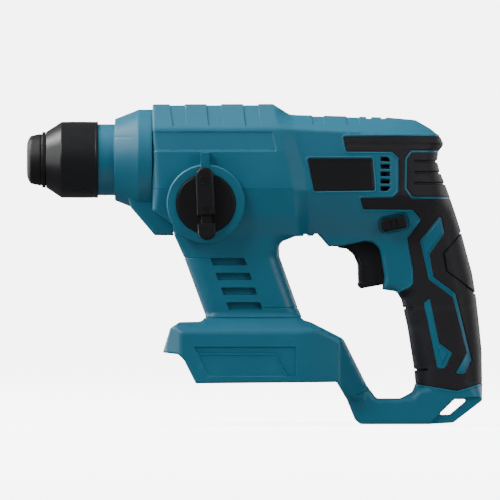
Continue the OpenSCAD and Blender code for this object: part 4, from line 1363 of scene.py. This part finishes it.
@dataclass
class ModeKnob:
    """Disc and bar that choose the mode, with the lock button in the bar's lower end."""

    axis: Tuple[float, float] = (107.1, -27.4)
    tilt: float = 2.5
    disc_r: float = 18.2
    half_w: float = 5.55
    top_y: float = 50.0
    ridge_y: float = 0.35

    def _run(self, corners: Sequence[Corner]) -> Points:
        """A run given in the knob's own turned frame."""
        return run_of(turned(corners, self.axis, self.tilt), spacing=0.8)

    def _bar(self, low: float, high: float, edge: float) -> Points:
        """Outline of a bar with one round end, the round end at high."""
        w = self.half_w
        sign = 1 if high > low else -1
        steps = [math.pi * k / 14 for k in range(15)]
        end = [(w * math.cos(a), high + sign * w * math.sin(a), 0, edge) for a in steps]
        return self._run([*end, (-w, low, 0.3, 0.6), (w, low, 0.3, 0.6)])

    def _ridges(self, middle: float) -> List[Feature]:
        """Three short ridges across the bar."""
        made: List[Feature] = []
        for k in (-1, 0, 1):
            v, w = middle + 1.9 * k, 2.3 + 0.3 * k
            made.append(Step(self._run(((-w, v - 0.45, 0.3), (w, v - 0.45, 0.3),
                                        (w, v + 0.45, 0.3), (-w, v + 0.45, 0.3))),
                             self.ridge_y, 0.25))
        return made

    def build_knob(self, palette: "Palette") -> bpy.types.Object:
        """Builds and dresses the knob."""
        left = on_side(Side.LEFT)
        rim = circle(*self.axis, self.disc_r, 120)
        rim[:, 2] = 0.9
        disc = Slab(rim, level(40.0), level(34.4)).build("disc", left)
        bar = Slab(self._bar(-7, 17, 1.5), level(self.top_y), level(39.6), spacing=0.8,
                   features=self._ridges(14.3) + self._ridges(-3.4)).build("bar", left)
        stem = Slab(circle(*self.axis, 6.0, 48), level(34.5), level(12.0)).build("stem", left)
        pin_at = (self.axis[0], self.axis[1] + 2)
        pin = Slab(circle(*pin_at, 1.5, 24), level(12.1), level(6.4),
                   spacing=0.8).build("pin", left)
        pocket = Slab(self._run(((-3.6, -8), (3.6, -8), (3.6, -1.4), (-3.6, -1.4))), level(48.0),
                      level(42.2)).build("pocket", left)
        piece = combined("mode_knob_body", disc, [bar, stem, pin], [pocket])
        palette.dress(piece, "black_plastic")
        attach(piece, "knob")
        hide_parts("mode_knob")
        return piece

    def build_button(self, palette: "Palette") -> bpy.types.Object:
        """Builds and dresses the lock button."""
        left = on_side(Side.LEFT)
        head = Slab(self._bar(-12.2, -17, 1.5), level(self.top_y), level(40.2),
                    spacing=0.8).build("head", left)
        tongue = Slab(self._run(((-3.3, -12.9, 0, 0.4), (3.3, -12.9, 0, 0.4), (3.3, -5.2, 0.4, 0.4),
                                 (-3.3, -5.2, 0.4, 0.4))), level(47.8),
                      level(42.4)).build("tongue", left)
        piece = combined("lock_button_body", head, [tongue])
        palette.dress(piece, "black_plastic")
        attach(piece, "lock_button")
        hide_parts("knob_lock_button")
        return piece


@dataclass
class Trigger:
    """Sliding trigger with a rounded finger face."""

    half_w: float = 9.5

    def build(self, palette: "Palette") -> bpy.types.Object:
        """Builds and dresses the trigger."""
        outline = run_of(((188.4, -53.6, 0.5, 1.2), (189.6, -54.7, 0.8, 2.2), (194.5, -55.3, 3, 3),
                          (198.6, -59, 4, 3), (201.1, -64.8, 5, 3), (201.5, -78.1, 1, 2.4),
                          (203.2, -79.6, 0.8, 0.8), (225.6, -75.6, 0.5, 0.3),
                          (221.7, -49.6, 0.5, 0.3), (206.5, -48.4, 0.5, 0.6),
                          (188.4, -51.8, 0.5, 0.6)), spacing=0.9)
        crease = Groove(run_of(((193.5, -52.6), (197.6, -56.8, 2), (201.8, -60.6, 3),
                                (204.4, -66, 3), (205, -76.0)), False), 0.9, -0.25)
        band = Step(run_of(((200.6, -76.2), (226, -72.2), (228, -84), (200, -84))), 0.35, 0.5)
        piece = Slab(outline, level(self.half_w), features=[crease, band],
                     spacing=0.9).build("trigger_body", on_side(Side.LEFT))
        palette.dress(piece, "black_plastic")
        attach(piece, "trigger")
        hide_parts("trigger")
        return piece


@dataclass
class DirectionButton:
    """Push-through bar that sets the turning direction."""

    at: Tuple[float, float] = (223.4, -39.6)
    tilt: float = 12.0
    half_len: float = 27.0
    flange_half_len: float = 5.0
    flange_rise: float = 0.4

    def build(self, palette: "Palette") -> bpy.types.Object:
        """Builds and dresses the button, with the flange that keeps it in the housing."""
        corners = ((-8, -4, 2, 1.3), (8, -4, 2, 1.3), (8, 4, 2, 1.3), (-8, 4, 2, 1.3))
        grooves = [Groove(run_of(turned(((x, -2.2), (x, 2.2)), self.at, self.tilt), False), 0.9,
                          -0.4) for x in (-1.6, 1.6)]
        outline = run_of(turned(corners, self.at, self.tilt), spacing=0.8)
        bar = Slab(outline, level(self.half_len), features=grooves,
                   spacing=0.8).build("bar", on_side(Side.LEFT))
        collar = inset(outline, -self.flange_rise)
        collar[:, 2] = 0
        flange = Slab(collar, level(self.flange_half_len)).build("flange", on_side(Side.LEFT))
        piece = combined("direction_button_bar", bar, [flange])
        palette.dress(piece, "black_plastic")
        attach(piece, "direction")
        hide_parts("direction_button")
        return piece


# ---------------------------------------------------------------- working parts


@dataclass
class WorkingParts:
    """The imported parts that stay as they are, each with its finish."""

    finishes: Dict[str, Tuple[str, ...]] = field(default_factory=lambda: {
        "machined_steel": ("ball_ring", "retaining_ring", "spindle_gear", "wobble_ring",
                           "wobble_hub", "countershaft", "countershaft_gear", "shift_sleeve"),
        "ground_steel": ("spindle", "upper_locking_ball", "lower_locking_ball", "impact_bolt",
                         "striker", "piston_pin", "front_bearing", "countershaft_bearings",
                         "motor_bearings", "armature_shaft", "trigger_plunger", "clutch_spring",
                         "sleeve_spring", "trigger_spring"),
        "blackened_steel": ("armature_core", "motor_yoke", "housing_screws", "brush_holders"),
        "magnet_ferrite": ("motor_magnets",),
        "cast_aluminium": ("piston", "bearing_bracket", "motor_plate"),
        "drawn_brass": ("rear_bush", "terminal_blades"),
        "copper_wire": ("armature_windings", "commutator"),
        "wire_red": ("wires",),
        "printed_board": ("controller",),
        "black_plastic": ("cooling_fan", "brush_plate", "power_switch", "terminal_block",
                          "carbon_brushes"),
        "cap_rubber": ("oil_seal", "bearing_damper", "knob_seal", "striker_seal_ring",
                       "piston_seal_ring"),
    })

    def build(self, palette: "Palette") -> int:
        """Dresses every part and returns how many there are."""
        for finish, nodes in self.finishes.items():
            for node in nodes:
                palette.dress_node(node, finish)
        return sum(len(nodes) for nodes in self.finishes.values())


# ---------------------------------------------------------------- studio


@dataclass
class AreaLight:
    """A soft rectangular light aimed at a point, which may be kept out of reflections."""

    name: str
    at: Tuple[float, float, float]
    power: float
    width: float
    height: float
    shows: bool = True

    def build(self, aim: Vector) -> None:
        """Makes the light."""
        data = bpy.data.lights.new(self.name, "AREA")
        data.shape = "RECTANGLE"
        data.size, data.size_y = self.width, self.height
        data.energy = self.power
        lamp = bpy.data.objects.new(self.name, data)
        lamp.location = self.at
        lamp.visible_glossy = self.shows
        lamp.rotation_euler = (aim - Vector(self.at)).to_track_quat("-Z", "Y").to_euler()
        bpy.context.scene.collection.objects.link(lamp)


@dataclass
class Studio:
    """Pale floor with a swept-up wall, soft lights and the camera."""

    eye: Tuple[float, float, float] = (0.1344, -6.0, -0.056)
    lens: float = 696.0
    reach: float = 8.0
    sweep_r: float = 1.2
    wall_top: float = 7.0
    paper_glow: float = 6.0
    lights: Tuple[AreaLight, ...] = (
        AreaLight("key", (-1.2, -1.3, 1.2), 22.0, 1.0, 0.8),
        AreaLight("top", (0.1, -0.1, 1.3), 17.0, 1.4, 0.5, shows=False),
        AreaLight("cone", (-0.95, 0.1, 1.1), 24.0, 0.6, 0.6),
        AreaLight("low", (0.0, -0.6, -0.95), 3.2, 0.9, 0.7, shows=False),
        AreaLight("right", (1.5, -1.2, 0.4), 9.0, 0.5, 1.0),
        AreaLight("left", (-1.6, -0.4, 0.2), 9.0, 0.6, 1.0),
        AreaLight("back_left", (-1.1, 0.9, 0.2), 14.0, 0.8, 1.2),
        AreaLight("back_right", (1.3, 0.9, 0.2), 10.0, 0.8, 1.2),
    )

    def floor(self, low: float) -> bpy.types.Object:
        """The floor and the wall all round it, as one swept sheet."""
        turns, steps = 96, 12
        profile = [(0.5, low), (self.reach, low)]
        for k in range(1, steps + 1):
            a = math.pi / 2 * k / steps
            profile.append((self.reach + self.sweep_r * math.sin(a),
                            low + self.sweep_r * (1 - math.cos(a))))
        profile.append((self.reach + self.sweep_r, self.wall_top))
        points = [(self.eye[0] + r * math.cos(math.tau * k / turns),
                   r * math.sin(math.tau * k / turns), z) for r, z in profile for k in range(turns)]
        faces: List[Tuple[int, ...]] = [tuple(range(turns))]
        for ring in range(len(profile) - 1):
            for k in range(turns):
                a, b = ring * turns + k, ring * turns + (k + 1) % turns
                faces.append((b, a, a + turns, b + turns))
        mesh = bpy.data.meshes.new("floor")
        mesh.from_pydata(points, [], faces)
        mesh.shade_smooth()
        sheet = bpy.data.objects.new("floor", mesh)
        bpy.context.scene.collection.objects.link(sheet)
        shader = Shader("studio_paper")
        shader.set(base_color=shader.mix(shader.noise(3.0, 2), rgba(0.86, 0.86, 0.86),
                                         rgba(0.90, 0.90, 0.90)), roughness=0.9,
                   emission_color=rgba(1.0, 1.0, 1.0), emission_strength=self.paper_glow)
        mesh.materials.append(shader.material)
        sheet.visible_diffuse = sheet.visible_glossy = sheet.visible_shadow = False
        sheet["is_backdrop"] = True
        return sheet

    def world(self) -> None:
        """Even near-white light from all round."""
        world = bpy.data.worlds.new("studio")
        world.use_nodes = True
        back = world.node_tree.nodes["Background"]
        back.inputs[0].default_value = (0.96, 0.98, 1.0, 1.0)
        back.inputs[1].default_value = 0.16
        bpy.context.scene.world = world

    def build(self, low: float, aim: Vector) -> None:
        """Makes the studio round the object.

        Args:
            low: height of the floor.
            aim: what the lights point at.
        """
        self.floor(low)
        self.world()
        for light in self.lights:
            light.build(aim)
        data = bpy.data.cameras.new("camera")
        data.lens = self.lens
        data.sensor_width = 36.0
        data.clip_end = 50.0
        camera = bpy.data.objects.new("camera", data)
        camera.location = self.eye
        camera.rotation_euler = (math.pi / 2, 0, 0)
        bpy.context.scene.collection.objects.link(camera)
        bpy.context.scene.camera = camera


def main() -> None:
    """Builds every piece in order."""
    logging.basicConfig(level=logging.INFO, format="%(relativeCreated)6d ms  %(message)s")
    cad_low, cad_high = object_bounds()
    studio = Studio()
    studio.build(cad_low[2] - 0.0002, (Vector(cad_low) + Vector(cad_high)) / 2)
    palette = Palette()
    knob, chuck = ModeKnob(), Chuck()
    steps: Tuple[Callable[[Palette], object], ...] = (
        HousingHalf(Side.LEFT).build, HousingHalf(Side.RIGHT).build,
        GripRubber(Side.LEFT).build, GripRubber(Side.RIGHT).build,
        RearPad().build, SidePlates().build, NoseHousing().build,
        chuck.build_sleeve, chuck.build_cap, knob.build_knob, knob.build_button,
        Trigger().build, DirectionButton().build, WorkingParts().build)
    for step in steps:
        made = step(palette)
        for piece in made if isinstance(made, list) else [made]:
            if isinstance(piece, bpy.types.Object):
                log.info("%s: %d faces", piece.name, len(piece.data.polygons))
            else:
                log.info("%s working parts dressed", piece)


if __name__ == "__main__":
    main()
